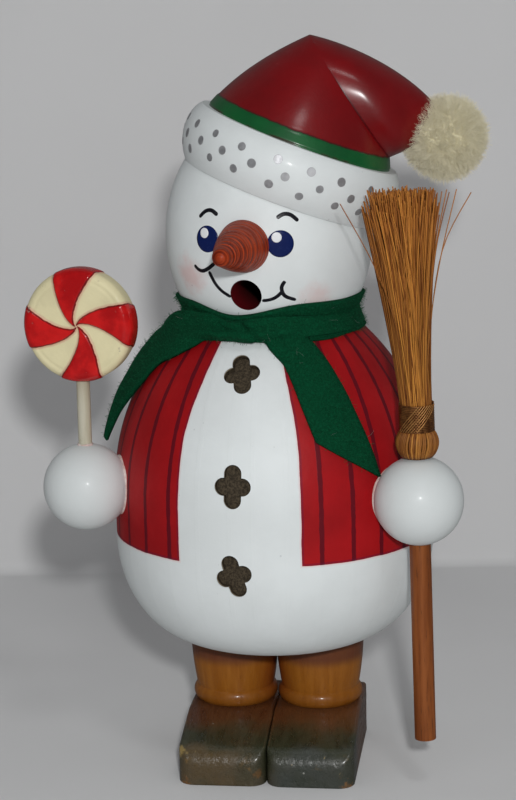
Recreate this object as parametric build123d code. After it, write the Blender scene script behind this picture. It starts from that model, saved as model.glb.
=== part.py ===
from build123d import *
import math
import os

# A turned wooden incense smoker: a snowman figure that lifts off its legs, so that
# an incense cone can burn on a brass tray inside it and smoke out of its mouth.
# Sizes are millimetres. Z is up, the floor is zero and the figure faces -Y.
# Left and right are the viewer's, so left is -X.

# Fits
GLUE_GAP = 0.05            # radial room round a dowel, peg or stick in its hole
PLUG_GAP = 0.3             # radial room round the plug, so that the figure lifts and turns
SPIN_GAP = 0.08            # radial room round the nail, so that the tray spins
FELT_GAP = 0.35            # room between the scarf and the wood under it
DOWEL_RADIUS = 3.0
DOWEL_END_ROOM = 0.5       # a dowel, peg or nail stops this far from its hole's end

# Shoes and legs
BASE_TURN = 7.5            # degrees that the base is turned under the figure
SHOE_PARTING = 0.2         # glue line between the two shoes
SHOE_WIDTH = 29.4
SHOE_TOE = 41.0            # toe ahead of the leg's axis
SHOE_HEEL = 16.5           # heel behind the leg's axis
SHOE_HEIGHT = 18.0
SHOE_TOE_HEIGHT = 11.4
SHOE_INSTEP = 13.0         # where the top starts to slope, ahead of the leg's axis
SHOE_CORNER = 5.0
SHOE_TOE_ROUND = 5.0
SHOE_EDGE = 0.8
LEG_HEIGHT = 24.0
LEG_TOP_RADIUS = 15.3
LEG_NECK_RADIUS = 13.4
LEG_BEAD_RADIUS = 14.6
LEG_BEAD_HEIGHT = 5.2
LEG_SWELL = 0.38           # how far the leg's side bows out between its bead and its top
LEG_DOWEL_DEPTH = 8.0      # how far a dowel goes into each of the two pieces it joins

# Plug and tray
PLUG_HEIGHT = 13.0
PLUG_EDGE = 1.0
DRAUGHT_RADIUS = 2.4
DRAUGHT_OUT = 17.2         # draught holes before and behind the plug's axis
TRAY_RADIUS = 13.4
TRAY_DEPTH = 3.0
TRAY_SHEET = 0.7
TRAY_FLARE = 1.6
TRAY_LIFT = 0.25           # the tray spins this far above the plug
NAIL_RADIUS = 1.0
NAIL_HEAD_RADIUS = 2.4
NAIL_HEAD_HEIGHT = 0.9
NAIL_DEPTH = 9.0

# Body
BODY_RADIUS = 54.3
BODY_CORNER_ACROSS = 28.0
BODY_CORNER_UP = 36.0
SHOULDER_RADIUS = 73.0
SHOULDER_RISE = 55.0       # height of the shoulder's arc, above the body's upright side
BODY_HEIGHT = 108.0
BORE_RADIUS = 22.0         # where the plug sits
SEAT_DEPTH = 15.0
CHAMBER_RADIUS = 28.0      # hollowed wider above the plug, as room for the smoke
CHAMBER_FLARE = 5.0
BORE_DEPTH = 70.0
BORE_TAPER = 16.0
BUTTON_LONG = 14.2
BUTTON_WIDE = 12.0
BUTTON_LOBE = 5.8
BUTTON_DEPTH = 3.4
BUTTON_DROPS = (10.4, 44.4, 73.8)      # below the body's top
BUTTON_TURNS = (11.0, 0.0, 17.0)        # degrees, as each happened to be drilled

# Head and nose
HEAD_RADIUS = 34.6
HEAD_HALF_HEIGHT = 42.0
HEAD_RISE = 30.1           # the head's centre above the body's top
TENON_RADIUS = 10.0
TENON_LENGTH = 13.0
SMOKE_RADIUS = 6.5
SMOKE_TOP = 12.0           # end of the smoke bore below the head's centre
MOUTH_RADIUS = 5.2
MOUTH_DROP = 16.1
NOSE_RADIUS = 8.5
NOSE_LENGTH = 29.0
NOSE_TIP_RADIUS = 3.0
NOSE_TAPER = 1.25          # over 1, so that the carrot stays full before it narrows
NOSE_SEAT = 1.2            # depth of the flat that the nose is glued on
NOSE_GROOVES = 9
NOSE_GROOVE_DEPTH = 0.35
NOSE_PEG_RADIUS = 3.0
NOSE_PEG_LENGTH = 9.0

# Hat, in its own frame: up along its leaning axis, out towards its tip
HAT_LEAN = 21.2
HAT_TURN = 11.0
HAT_CENTRE_RISE = 4.2      # the hat's axis crosses the figure's this far above the head's centre
HAT_SEAT = 10.3            # along the axis, from that crossing to the brim
BRIM_HEIGHT = 19.3
BRIM_RADIUS = 37.2
BRIM_FOOT_RADIUS = 33.4
BRIM_TOP_RADIUS = 34.2
# Points of the brim's side: how far inside its widest radius, and share of its height down
BRIM_SIDE = ((0.6, 0.67), (0.0, 0.45), (1.0, 0.15))
CROWN_RADIUS = 31.8
CROWN_PEAK_RADIUS = 8.5
CROWN_PEAK_HEIGHT = 32.6
CROWN_BULGE = (21.4, 18.3)             # out and up, half way up the bell
SEAM_LOW = (30.1, 5.8)                 # out and up, where the seam meets the crown's low side
TIP_CREASE = (33.6, 8.4)               # out and up, where the tip's under side leaves the crown
TIP_END = (40.5, 18.0)                 # centre of the tip's blunt end, inside the pompom
TIP_END_RADIUS = 5.5
TIP_END_SLANT = 0.6                    # how far the blunt end's foot lies back from its top
TIP_HALF_WAY = (8.5, 33.4)             # out and up, on the tip's upper line
TIP_SHOULDER = (22.1, 32.3)            # out and up, where the upper line starts to fall
TIP_SLIMMING = (0.93, 0.75)            # depth at those two places, as a share of the seam's
TIP_INSET = 0.7                        # the tip's sides lie this far inside the crown at the seam
HAT_DOWEL_RADIUS = 4.0
HAT_DOWEL_DEPTH = 9.0
TIP_DOWEL_RADIUS = 2.5
TIP_DOWEL_DEPTH = 5.0
POMPOM_RADIUS = 14.5
POMPOM_CENTRE = (45.3, 16.6)

# Hands and what they hold
HAND_RADIUS = 14.5
HAND_OUT = 10.7            # the ball's centre outside the body's side
HAND_ANGLE = 60.0          # degrees from the front
HAND_DROP = 51.5           # below the body's top
HAND_SINK = 0.9            # depth of the flat spot in the body
HAND_DOWEL_DEPTH = 7.0
LOLLY_RISE = 54.9          # the disc's centre above the hand's
LOLLY_RADIUS = 18.6
LOLLY_THICK = 9.0
LOLLY_EDGE = 2.6
LOLLY_STICK_RADIUS = 2.25
LOLLY_STICK_GRIP = 9.0     # length inside the hand
LOLLY_STICK_SEAT = 7.0     # length inside the disc
BROOM_TURN = 14.5          # degrees that the broom's lean is turned from +X
BROOM_LEAN = 1.2
BROOM_STICK_RADIUS = 3.5
BROOM_STICK_BELOW = 80.5   # below the hand's centre
BROOM_FOOT_GAP = 0.3       # between the hand and the bound end of the straw
BULB_RADIUS = 6.85
BULB_HEIGHT = 8.2
BULB_FLUTES = 20
BULB_FLUTE_DEPTH = 0.35
BULB_SWELL = ((0.72, 0.0), (0.94, 0.22), (1.0, 0.45), (0.95, 0.75))   # shares of radius and height
BUNDLE_RADIUS = 5.0
BINDING_HEIGHT = 9.4
BUNDLE_COLLAR = 1.6        # slice of straw above the binding that the strands spring from
STICK_IN_BUNDLE = 12.0
STRAND_STEP = 0.53
STRAND_SIZE = 0.22         # from a strand's middle to its corners
STRAND_LENGTH = 66.5
STRAND_UNEVEN = 5.0        # the shortest strand ends this far under the longest
STRAND_UNEVEN_SHARE = 0.618  # share of that by which each strand differs from the one before
STRAND_TURN_SHARE = 0.13   # share of a turn by which each strand is turned from the one before
STRAND_WIDE_RATIO = 2.45   # how many times wider the brush is at its end, seen from the front
STRAND_DEEP_RATIO = 1.9    # the same, seen from the side
STRAND_SWEEP = -6.2        # how far the brush's end is swept towards the body
WIRE_RADIUS = 0.25
WIRE_TURNS = 9
WIRE_STEP = 0.93
WIRE_BEND = 0.8
WIRE_SEAT = 0.06           # between the wire and the straw
WIRE_HOLE_GAP = 0.4        # round the wire's ends where they are tucked into the straw
WIRE_SAMPLES = 60          # points on each turn when the gap between turns is measured

# Scarf, a felt strip
SCARF_RISE = 8.4           # top of the ring above the body's top
SCARF_CREASE = 3.6         # crease between the ring's two folds, above the body's top
SCARF_FULLNESS = 3.0       # how far the ring stands out from the body's top
SCARF_CREASE_DEPTH = 2.2   # how far the crease is drawn in
SCARF_TUCK = 2.6           # how far the lower fold would reach below the body's top
SCARF_REACH_IN = 8.0       # from the body's rim in towards the neck
SCARF_LIP = 0.4            # how far the upper fold's rim turns in
SCARF_THICK = 1.4
# Each tail runs through lines from one edge of the strip to the other. An edge is
# degrees from the front, drop below the body's top and distance off the wood.
RIGHT_TAIL = (
    ((7.0, -2.5, -1.0), (37.0, -2.5, -1.0)),
    ((9.5, 3.4, 0.6), (38.5, 3.6, 0.6)),
    ((16.0, 13.0, 0.6), (42.5, 17.0, 0.6)),
    ((22.8, 22.0, 0.6), (47.2, 31.0, 0.6)),
    ((29.4, 30.5, 0.6), (52.0, 44.0, 0.6)),
)
LEFT_TAIL = (
    ((-10.0, -2.5, -1.0), (-32.0, -2.5, -1.0)),
    ((-24.0, 3.0, 0.8), (-52.0, 1.0, 2.2)),
    ((-40.0, 7.5, 0.7), (-66.0, 2.2, 4.2)),
    ((-54.0, 12.0, 1.0), (-75.0, 5.0, 5.0)),
    ((-62.0, 23.4, 1.8), (-81.0, 17.0, 4.4)),
    ((-67.0, 33.5, 2.6), (-81.0, 30.5, 4.2)),
    ((-71.0, 40.2, 3.0), (-76.5, 38.0, 3.6)),
)

# Heights and places that follow from the sizes above
BODY_BASE = SHOE_HEIGHT + LEG_HEIGHT
BODY_TOP = BODY_BASE + BODY_HEIGHT
SHOULDER_Z = BODY_TOP - SHOULDER_RISE
LEG_X = (SHOE_PARTING + SHOE_WIDTH) / 2
PLUG_TOP = BODY_BASE + PLUG_HEIGHT
HEAD_Z = BODY_TOP + HEAD_RISE
HAND_Z = BODY_TOP - HAND_DROP
BASE_PLACE = Rot(0, 0, BASE_TURN)
LEFT, RIGHT = -1, 1


def turned(outline):
    """Solid turned about Z from a closed outline of radius and height."""
    return revolve(Plane.XZ * make_face(outline), Axis.Z)


def rod(radius, low, high):
    """Upright round rod on the Z axis between two heights."""
    return Pos(0, 0, low) * extrude(Circle(radius), high - low)


def around(radius, angle, z):
    """Point at a radius and height, at an angle from the front towards the right."""
    turn = math.radians(angle)
    return Vector(radius * math.sin(turn), -radius * math.cos(turn), z)


def outward(angle, z):
    """Plane on the figure's axis whose normal points out level at an angle."""
    turn = math.radians(angle)
    return Plane(origin=(0, 0, z), x_dir=(math.cos(turn), math.sin(turn), 0),
                 z_dir=(math.sin(turn), -math.cos(turn), 0))


# Shoes, legs, plug and tray

def shoe(side):
    length = SHOE_TOE + SHOE_HEEL
    middle = (SHOE_HEEL - SHOE_TOE) / 2
    plan = Pos(side * LEG_X, middle) * Rectangle(SHOE_WIDTH, length)
    plan = fillet(plan.vertices().sort_by(Axis.Y)[:2], SHOE_CORNER)
    profile = Polygon((-SHOE_TOE, 0), (-SHOE_TOE, SHOE_TOE_HEIGHT), (-SHOE_INSTEP, SHOE_HEIGHT),
                      (SHOE_HEEL, SHOE_HEIGHT), (SHOE_HEEL, 0), align=None)
    toe = profile.vertices().sort_by_distance(Vertex(-SHOE_TOE, SHOE_TOE_HEIGHT, 0))[0]
    profile = fillet(toe, SHOE_TOE_ROUND)
    slab = extrude(Plane.YZ * profile, SHOE_WIDTH + SHOE_PARTING, dir=(side, 0, 0))
    block = extrude(plan, SHOE_HEIGHT) & slab
    top = block.faces().filter_by(Axis.Z).sort_by(Axis.Z)[-1]
    outer = top.edges().sort_by(Axis.X)[-1 if side == RIGHT else 0]
    heel = top.edges().sort_by(Axis.Y)[-1]
    block = fillet([outer, heel], SHOE_EDGE)
    hole = rod(DOWEL_RADIUS + GLUE_GAP, SHOE_HEIGHT - LEG_DOWEL_DEPTH, SHOE_HEIGHT)
    return block - Pos(side * LEG_X, 0) * hole


def leg(side):
    foot = (LEG_NECK_RADIUS, 0)
    bead = (LEG_BEAD_RADIUS, LEG_BEAD_HEIGHT / 2)
    neck = (LEG_NECK_RADIUS, LEG_BEAD_HEIGHT)
    top = (LEG_TOP_RADIUS, LEG_HEIGHT)
    middle = ((LEG_NECK_RADIUS + LEG_TOP_RADIUS) / 2 + LEG_SWELL, (LEG_BEAD_HEIGHT + LEG_HEIGHT) / 2)
    post = turned([
        Line((0, 0), foot),
        ThreePointArc(foot, bead, neck),
        ThreePointArc(neck, middle, top),
        Line(top, (0, LEG_HEIGHT)),
        Line((0, LEG_HEIGHT), (0, 0)),
    ])
    post -= rod(DOWEL_RADIUS + GLUE_GAP, 0, LEG_DOWEL_DEPTH)
    post -= rod(DOWEL_RADIUS + GLUE_GAP, LEG_HEIGHT - LEG_DOWEL_DEPTH, LEG_HEIGHT)
    post = Pos(side * LEG_X, 0, SHOE_HEIGHT) * post
    parting = Plane(origin=(side * SHOE_PARTING / 2, 0, 0), z_dir=(side, 0, 0))
    return split(post, parting, keep=Keep.TOP)


def leg_dowels(height):
    """The pair of dowels across the joint at a height."""
    reach = LEG_DOWEL_DEPTH - DOWEL_END_ROOM
    dowel = rod(DOWEL_RADIUS, height - reach, height + reach)
    return Compound([BASE_PLACE * Pos(side * LEG_X, 0) * dowel for side in (LEFT, RIGHT)])


def plug():
    radius = BORE_RADIUS - PLUG_GAP
    disc = chamfer(rod(radius, BODY_BASE, PLUG_TOP).edges().sort_by(Axis.Z)[-1], PLUG_EDGE)
    hole = rod(DOWEL_RADIUS + GLUE_GAP, BODY_BASE, BODY_BASE + LEG_DOWEL_DEPTH)
    draught = rod(DRAUGHT_RADIUS, BODY_BASE, PLUG_TOP)
    for side in (LEFT, RIGHT):
        disc -= Pos(side * LEG_X, 0) * hole
        disc -= Pos(0, side * DRAUGHT_OUT) * draught
    return disc - rod(NAIL_RADIUS + GLUE_GAP, PLUG_TOP - NAIL_DEPTH, PLUG_TOP)


def incense_tray():
    floor = PLUG_TOP + TRAY_LIFT
    foot = TRAY_RADIUS - TRAY_FLARE
    hole = NAIL_RADIUS + SPIN_GAP
    dish = Polyline((hole, 0), (foot, 0), (TRAY_RADIUS, TRAY_DEPTH), (TRAY_RADIUS - TRAY_SHEET, TRAY_DEPTH),
                    (foot - TRAY_SHEET, TRAY_SHEET), (hole, TRAY_SHEET), close=True)
    return Pos(0, 0, floor) * turned(dish)


def tray_nail():
    seat = PLUG_TOP + TRAY_LIFT + TRAY_SHEET + SPIN_GAP
    cap = rod(NAIL_HEAD_RADIUS, seat, seat + NAIL_HEAD_HEIGHT)
    cap = fillet(cap.edges().sort_by(Axis.Z)[-1], NAIL_HEAD_HEIGHT / 2)
    return cap + rod(NAIL_RADIUS, PLUG_TOP - NAIL_DEPTH + DOWEL_END_ROOM, seat)


# Body

def body_solid(grow=0.0):
    """The body's turned outside, or one larger all round by a margin."""
    corner = (BODY_RADIUS - BODY_CORNER_ACROSS, BODY_BASE + BODY_CORNER_UP)
    side = BODY_RADIUS + grow
    bottom = BODY_BASE - grow
    top = BODY_TOP + grow
    sweep = math.degrees(math.asin((top - SHOULDER_Z) / (SHOULDER_RADIUS + grow)))
    shoulder = CenterArc((BODY_RADIUS - SHOULDER_RADIUS, SHOULDER_Z), SHOULDER_RADIUS + grow, 0, sweep)
    return turned([
        Line((0, bottom), (corner[0], bottom)),
        EllipticalCenterArc(corner, BODY_CORNER_ACROSS + grow, BODY_CORNER_UP + grow, 270, arc_size=90),
        Line((side, corner[1]), (side, SHOULDER_Z)),
        shoulder,
        Line(shoulder @ 1, (0, top)),
        Line((0, top), (0, bottom)),
    ])


def button_recess(drop, turn):
    """Four-lobed blind recess, drilled square into the front."""
    z = BODY_TOP - drop
    lobes = SlotOverall(BUTTON_LONG, BUTTON_LOBE, rotation=90) + SlotOverall(BUTTON_WIDE, BUTTON_LOBE)
    slope = math.asin(max(0, z - SHOULDER_Z) / SHOULDER_RADIUS)
    front = Plane(origin=around(body_radius(z), 0, z), x_dir=(1, 0, 0),
                  z_dir=(0, -math.cos(slope), math.sin(slope)))
    floor = front.offset(-BUTTON_DEPTH)
    return extrude(floor * Rot(0, 0, turn) * lobes, 2 * BUTTON_DEPTH)


def hand_place(side):
    """Plane at a hand's centre whose normal points away from the figure."""
    return outward(side * HAND_ANGLE, HAND_Z).offset(BODY_RADIUS + HAND_OUT)


def hand_flat():
    """Distance from a hand's centre back to its glued flat."""
    return HAND_OUT + HAND_SINK


def body():
    neck = TENON_RADIUS + GLUE_GAP
    seat = BODY_BASE + SEAT_DEPTH
    bore_top = BODY_BASE + BORE_DEPTH
    chamber = turned(Polyline(
        (0, BODY_BASE), (BORE_RADIUS, BODY_BASE), (BORE_RADIUS, seat),
        (CHAMBER_RADIUS, seat + CHAMBER_FLARE), (CHAMBER_RADIUS, bore_top), (neck, bore_top + BORE_TAPER),
        (neck, BODY_TOP), (0, BODY_TOP), close=True))
    barrel = body_solid() - chamber
    for drop, turn in zip(BUTTON_DROPS, BUTTON_TURNS):
        barrel -= button_recess(drop, turn)
    flat = Plane.XY.offset(-hand_flat())
    socket = split(Sphere(HAND_RADIUS + GLUE_GAP), flat, keep=Keep.TOP)
    socket += flat * rod(DOWEL_RADIUS + GLUE_GAP, -HAND_DOWEL_DEPTH, 0)
    for side in (LEFT, RIGHT):
        barrel -= hand_place(side) * socket
    return barrel


def body_radius(z):
    """Radius of the body's outside at a height on its side or shoulder."""
    rise = max(0.0, min(z, BODY_TOP) - SHOULDER_Z)
    return BODY_RADIUS - SHOULDER_RADIUS + math.sqrt(SHOULDER_RADIUS**2 - rise**2)


# Head and nose

def head_solid(grow=0.0):
    """The head's turned outside before it is cut, or one larger by a margin."""
    oval = Ellipse(HEAD_RADIUS + grow, HEAD_HALF_HEIGHT + grow)
    half = oval & Pos(HEAD_RADIUS, 0) * Rectangle(2 * HEAD_RADIUS, 4 * HEAD_HALF_HEIGHT)
    return Pos(0, 0, HEAD_Z) * revolve(Plane.XZ * half, Axis.Z)


def nose_seat():
    """Distance from the figure's axis to the flat that the nose is glued on."""
    return HEAD_RADIUS - NOSE_SEAT


def head():
    skull = split(head_solid(), Plane.XY.offset(BODY_TOP), keep=Keep.TOP)
    skull = split(skull, hat_frame().offset(-BRIM_HEIGHT), keep=Keep.BOTTOM)
    skull += rod(TENON_RADIUS, BODY_TOP - TENON_LENGTH, BODY_TOP)
    skull -= rod(SMOKE_RADIUS, BODY_TOP - TENON_LENGTH, HEAD_Z - SMOKE_TOP)
    skull -= extrude(outward(0, HEAD_Z - MOUTH_DROP) * Circle(MOUTH_RADIUS), HEAD_RADIUS)
    flat = outward(0, HEAD_Z).offset(nose_seat())
    skull -= extrude(flat * Circle(NOSE_RADIUS + GLUE_GAP), NOSE_LENGTH)
    skull -= extrude(flat * Circle(NOSE_PEG_RADIUS + GLUE_GAP), -NOSE_PEG_LENGTH)
    hole = rod(HAT_DOWEL_RADIUS + GLUE_GAP, -BRIM_HEIGHT - HAT_DOWEL_DEPTH, -BRIM_HEIGHT)
    return skull - hat_frame() * hole


def nose():
    """Carrot with turned grooves, along its own axis from the glued flat."""
    cone_end = NOSE_LENGTH - NOSE_TIP_RADIUS
    step = cone_end / (NOSE_GROOVES + 1)

    def radius(along):
        share = along / cone_end
        return NOSE_RADIUS + (NOSE_TIP_RADIUS - NOSE_RADIUS) * share**NOSE_TAPER

    points = [(NOSE_RADIUS, 0)]
    for groove in range(1, NOSE_GROOVES + 1):
        middle = groove * step
        points.append((radius(middle - NOSE_GROOVE_DEPTH), middle - NOSE_GROOVE_DEPTH))
        points.append((radius(middle) - NOSE_GROOVE_DEPTH, middle))
        points.append((radius(middle + NOSE_GROOVE_DEPTH), middle + NOSE_GROOVE_DEPTH))
    points.append((NOSE_TIP_RADIUS, cone_end))
    tip = CenterArc((0, cone_end), NOSE_TIP_RADIUS, 0, 90)
    carrot = turned([Line((0, 0), points[0]), Polyline(*points), tip, Line(tip @ 1, (0, 0))])
    carrot += rod(NOSE_PEG_RADIUS, -NOSE_PEG_LENGTH + DOWEL_END_ROOM, 0)
    return outward(0, HEAD_Z).offset(nose_seat()) * carrot


# Hat

def hat_frame():
    """Plane at the foot of the crown: x points out to the tip, z up the hat's axis."""
    lean = math.radians(HAT_LEAN)
    turn = math.radians(HAT_TURN)
    up = Vector(math.sin(lean) * math.cos(turn), math.sin(lean) * math.sin(turn), math.cos(lean))
    out = Vector(math.cos(lean) * math.cos(turn), math.cos(lean) * math.sin(turn), -math.sin(lean))
    foot = Vector(0, 0, HEAD_Z + HAT_CENTRE_RISE) + up * (HAT_SEAT + BRIM_HEIGHT)
    return Plane(origin=foot, x_dir=out, z_dir=up)


def hat_point(place):
    """Point of the hat's middle plane, given out and up."""
    return Vector(place[0], 0, place[1])


def seam_frame():
    """Plane of the mitred seam: x runs down it to the crease, z points into the tip."""
    high = Vector(-CROWN_PEAK_RADIUS, 0, CROWN_PEAK_HEIGHT)
    low = hat_point(SEAM_LOW)
    down = (low - high).normalized()
    return Plane(origin=(high + low) / 2, x_dir=down, z_dir=Vector(-down.Z, 0, down.X))


def hat_brim():
    foot = (BRIM_FOOT_RADIUS, -BRIM_HEIGHT)
    top = (BRIM_TOP_RADIUS, 0)
    side = [(BRIM_RADIUS - inside, -share * BRIM_HEIGHT) for inside, share in BRIM_SIDE]
    ring = turned([
        Line((0, -BRIM_HEIGHT), foot),
        Spline(foot, *side, top),
        Line(top, (0, 0)),
        Line((0, 0), (0, -BRIM_HEIGHT)),
    ])
    return hat_frame() * (ring - rod(HAT_DOWEL_RADIUS + GLUE_GAP, -BRIM_HEIGHT, 0))


def hat_crown():
    foot = (CROWN_RADIUS, 0)
    peak = (CROWN_PEAK_RADIUS, CROWN_PEAK_HEIGHT)
    bell = turned([
        Line((0, 0), foot),
        Spline(foot, CROWN_BULGE, peak),
        Line(peak, (0, CROWN_PEAK_HEIGHT)),
        Line((0, CROWN_PEAK_HEIGHT), (0, 0)),
    ])
    crown = split(bell, seam_frame(), keep=Keep.BOTTOM)
    crown -= rod(HAT_DOWEL_RADIUS + GLUE_GAP, 0, HAT_DOWEL_DEPTH)
    return hat_frame() * (crown - seam_frame() * rod(TIP_DOWEL_RADIUS + GLUE_GAP, -TIP_DOWEL_DEPTH, 0))


def tip_section(upper, lower, half_depth):
    """Oval across the tip from its upper line to its under side."""
    top = hat_point(upper)
    bottom = hat_point(lower)
    down = (bottom - top).normalized()
    across = Plane(origin=(top + bottom) / 2, x_dir=down, z_dir=Vector(-down.Z, 0, down.X))
    return across * Ellipse((bottom - top).length / 2, half_depth)


def seam_half_depth():
    """Half the depth of the crown where the seam's middle crosses it."""
    middle = seam_frame().origin
    return math.sqrt(max(CROWN_BULGE[0]**2 - middle.X**2, CROWN_PEAK_RADIUS**2)) - TIP_INSET


def hat_tip():
    peak = (-CROWN_PEAK_RADIUS, CROWN_PEAK_HEIGHT)
    under = ((SEAM_LOW[0] + TIP_CREASE[0]) / 2, (SEAM_LOW[1] + TIP_CREASE[1]) / 2)
    end_top = (TIP_END[0], TIP_END[1] + TIP_END_RADIUS)
    end_foot = (TIP_END[0] - TIP_END_SLANT, TIP_END[1] - TIP_END_RADIUS)
    depth = seam_half_depth()
    horn = loft([
        tip_section(peak, SEAM_LOW, depth),
        tip_section(TIP_HALF_WAY, under, depth * TIP_SLIMMING[0]),
        tip_section(TIP_SHOULDER, TIP_CREASE, depth * TIP_SLIMMING[1]),
        tip_section(end_top, end_foot, TIP_END_RADIUS),
    ])
    return hat_frame() * (horn - seam_frame() * rod(TIP_DOWEL_RADIUS + GLUE_GAP, 0, TIP_DOWEL_DEPTH))


def hat_dowel():
    reach = HAT_DOWEL_DEPTH - DOWEL_END_ROOM
    return hat_frame() * rod(HAT_DOWEL_RADIUS, -BRIM_HEIGHT - reach, reach)


def tip_dowel():
    reach = TIP_DOWEL_DEPTH - DOWEL_END_ROOM
    return hat_frame() * seam_frame() * rod(TIP_DOWEL_RADIUS, -reach, reach)


def pompom():
    """Ball of wool, with a pocket that the hat's tip is glued into."""
    centre = hat_point(POMPOM_CENTRE)
    ball = hat_frame() * Pos(*centre) * Sphere(POMPOM_RADIUS)
    return ball - hat_tip()


# Hands, lollipop and broom

def hand(side):
    flat = Plane.XY.offset(-hand_flat())
    ball = split(Sphere(HAND_RADIUS), flat, keep=Keep.TOP)
    ball -= flat * rod(DOWEL_RADIUS + GLUE_GAP, 0, HAND_DOWEL_DEPTH)
    ball = hand_place(side) * ball
    if side == LEFT:
        hole = lolly_place() * rod(LOLLY_STICK_RADIUS + GLUE_GAP, -LOLLY_STICK_GRIP, HAND_RADIUS)
    else:
        hole = broom_frame() * rod(BROOM_STICK_RADIUS + GLUE_GAP, -HAND_RADIUS, HAND_RADIUS)
    return ball - hole


def hand_dowels():
    reach = HAND_DOWEL_DEPTH - DOWEL_END_ROOM
    dowel = rod(DOWEL_RADIUS, -hand_flat() - reach, -hand_flat() + reach)
    return Compound([hand_place(side) * dowel for side in (LEFT, RIGHT)])


def lolly_place():
    return Pos(*hand_place(LEFT).origin)


def lolly_stick_top():
    return LOLLY_RISE - LOLLY_RADIUS + LOLLY_STICK_SEAT


def lollipop_stick():
    return lolly_place() * rod(LOLLY_STICK_RADIUS, -LOLLY_STICK_GRIP, lolly_stick_top())


def lollipop_disc():
    drum = extrude(Circle(LOLLY_RADIUS), LOLLY_THICK / 2, both=True)
    drum = fillet(drum.edges().filter_by(GeomType.CIRCLE), LOLLY_EDGE)
    drum = lolly_place() * Pos(0, 0, LOLLY_RISE) * Rot(90, 0, 0) * drum
    return drum - lolly_place() * rod(LOLLY_STICK_RADIUS + GLUE_GAP, 0, lolly_stick_top())


def broom_frame():
    """Plane at the right hand's centre with z up the broom's stick."""
    facing = math.radians(BROOM_TURN)
    lean = math.radians(BROOM_LEAN)
    along = Vector(math.cos(facing), math.sin(facing), 0)
    up = Vector(0, 0, math.cos(lean)) - along * math.sin(lean)
    across = along * math.cos(lean) + Vector(0, 0, math.sin(lean))
    return Plane(origin=hand_place(RIGHT).origin, x_dir=across, z_dir=up)


BULB_FOOT = HAND_RADIUS + BROOM_FOOT_GAP
BINDING_FOOT = BULB_FOOT + BULB_HEIGHT
COLLAR_FOOT = BINDING_FOOT + BINDING_HEIGHT
COLLAR_TOP = COLLAR_FOOT + BUNDLE_COLLAR


def broom_stick():
    return broom_frame() * rod(BROOM_STICK_RADIUS, -BROOM_STICK_BELOW, BULB_FOOT + STICK_IN_BUNDLE)


def fluted_ring(radius, z):
    """Closed outline of straw ends at a height: ridges and furrows by turns."""
    corners = []
    for step in range(2 * BULB_FLUTES):
        turn = math.pi * step / BULB_FLUTES
        reach = radius - BULB_FLUTE_DEPTH * (step % 2)
        corners.append(Vector(reach * math.cos(turn), reach * math.sin(turn), z))
    return Wire.make_polygon(corners)


def straw_bulb():
    """Bound lower end of the straw, swollen under the binding."""
    wires = [fluted_ring(BULB_RADIUS * swell, BULB_FOOT + BULB_HEIGHT * share) for swell, share in BULB_SWELL]
    wires.append(fluted_ring(BUNDLE_RADIUS + 2 * BULB_FLUTE_DEPTH, BINDING_FOOT))
    return Solid.make_loft(wires, ruled=True)


def strand_roots():
    """Even places for the strands across the bundle, row by row."""
    roots = []
    row_step = STRAND_STEP * math.sqrt(3) / 2
    reach = BUNDLE_RADIUS - STRAND_SIZE
    rows = int(reach / row_step)
    for row in range(-rows, rows + 1):
        y = row * row_step
        half = math.sqrt(reach**2 - y**2)
        shift = STRAND_STEP / 2 * (row % 2)
        columns = int(half / STRAND_STEP) + 1
        for column in range(-columns, columns + 1):
            x = column * STRAND_STEP + shift
            if x * x + y * y <= reach**2:
                roots.append((x, y))
    return roots


def strand(number, x, y):
    """One three-sided straw, straight from the collar to its own uneven end."""
    root = Vector(x, y, COLLAR_TOP - BUNDLE_COLLAR / 2)
    length = STRAND_LENGTH - STRAND_UNEVEN * ((number * STRAND_UNEVEN_SHARE) % 1)
    share = length / STRAND_LENGTH
    end = Vector(x + share * (x * (STRAND_WIDE_RATIO - 1) + STRAND_SWEEP),
                 y + share * y * (STRAND_DEEP_RATIO - 1), COLLAR_TOP + length)
    corners = []
    for corner in range(3):
        turn = 2 * math.pi * (corner / 3 + number * STRAND_TURN_SHARE)
        corners.append(root + Vector(math.cos(turn), math.sin(turn), 0) * STRAND_SIZE)
    return Solid.extrude(Face(Wire.make_polygon(corners)), end - root)


def broom_bristles():
    bundle = straw_bulb() + rod(BUNDLE_RADIUS, BINDING_FOOT, COLLAR_TOP)
    bundle -= rod(BROOM_STICK_RADIUS + GLUE_GAP, BULB_FOOT, BULB_FOOT + STICK_IN_BUNDLE + GLUE_GAP)
    for end in wire_ends():
        bundle -= end * extrude(Circle(WIRE_RADIUS + WIRE_HOLE_GAP), WIRE_BEND * 2, both=True)
    strands = [strand(number, *root) for number, root in enumerate(strand_roots())]
    return broom_frame() * bundle.fuse(*strands)


def wire_radius():
    return BUNDLE_RADIUS + WIRE_SEAT + WIRE_RADIUS


def wire_foot():
    return BINDING_FOOT + (BINDING_HEIGHT - WIRE_TURNS * WIRE_STEP) / 2


def wire_point(half_turns):
    turn = math.pi * half_turns
    reach = wire_radius()
    return Vector(reach * math.cos(turn), reach * math.sin(turn), wire_foot() + WIRE_STEP * half_turns / 2)


def wire_heading(half_turns):
    turn = math.pi * half_turns
    reach = wire_radius()
    return Vector(-reach * math.sin(turn), reach * math.cos(turn), WIRE_STEP / (2 * math.pi)).normalized()


def wire_ends():
    """Planes at the two tucked ends of the wire, with z pointing out of the bundle."""
    ends = []
    for half_turns, way in ((0, -1), (2 * WIRE_TURNS, 1)):
        turn = math.pi * half_turns
        out = Vector(math.cos(turn), math.sin(turn), 0)
        corner = wire_point(half_turns) + wire_heading(half_turns) * (way * WIRE_BEND) - out * WIRE_BEND
        ends.append(Plane(origin=corner, z_dir=out))
    return ends


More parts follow.
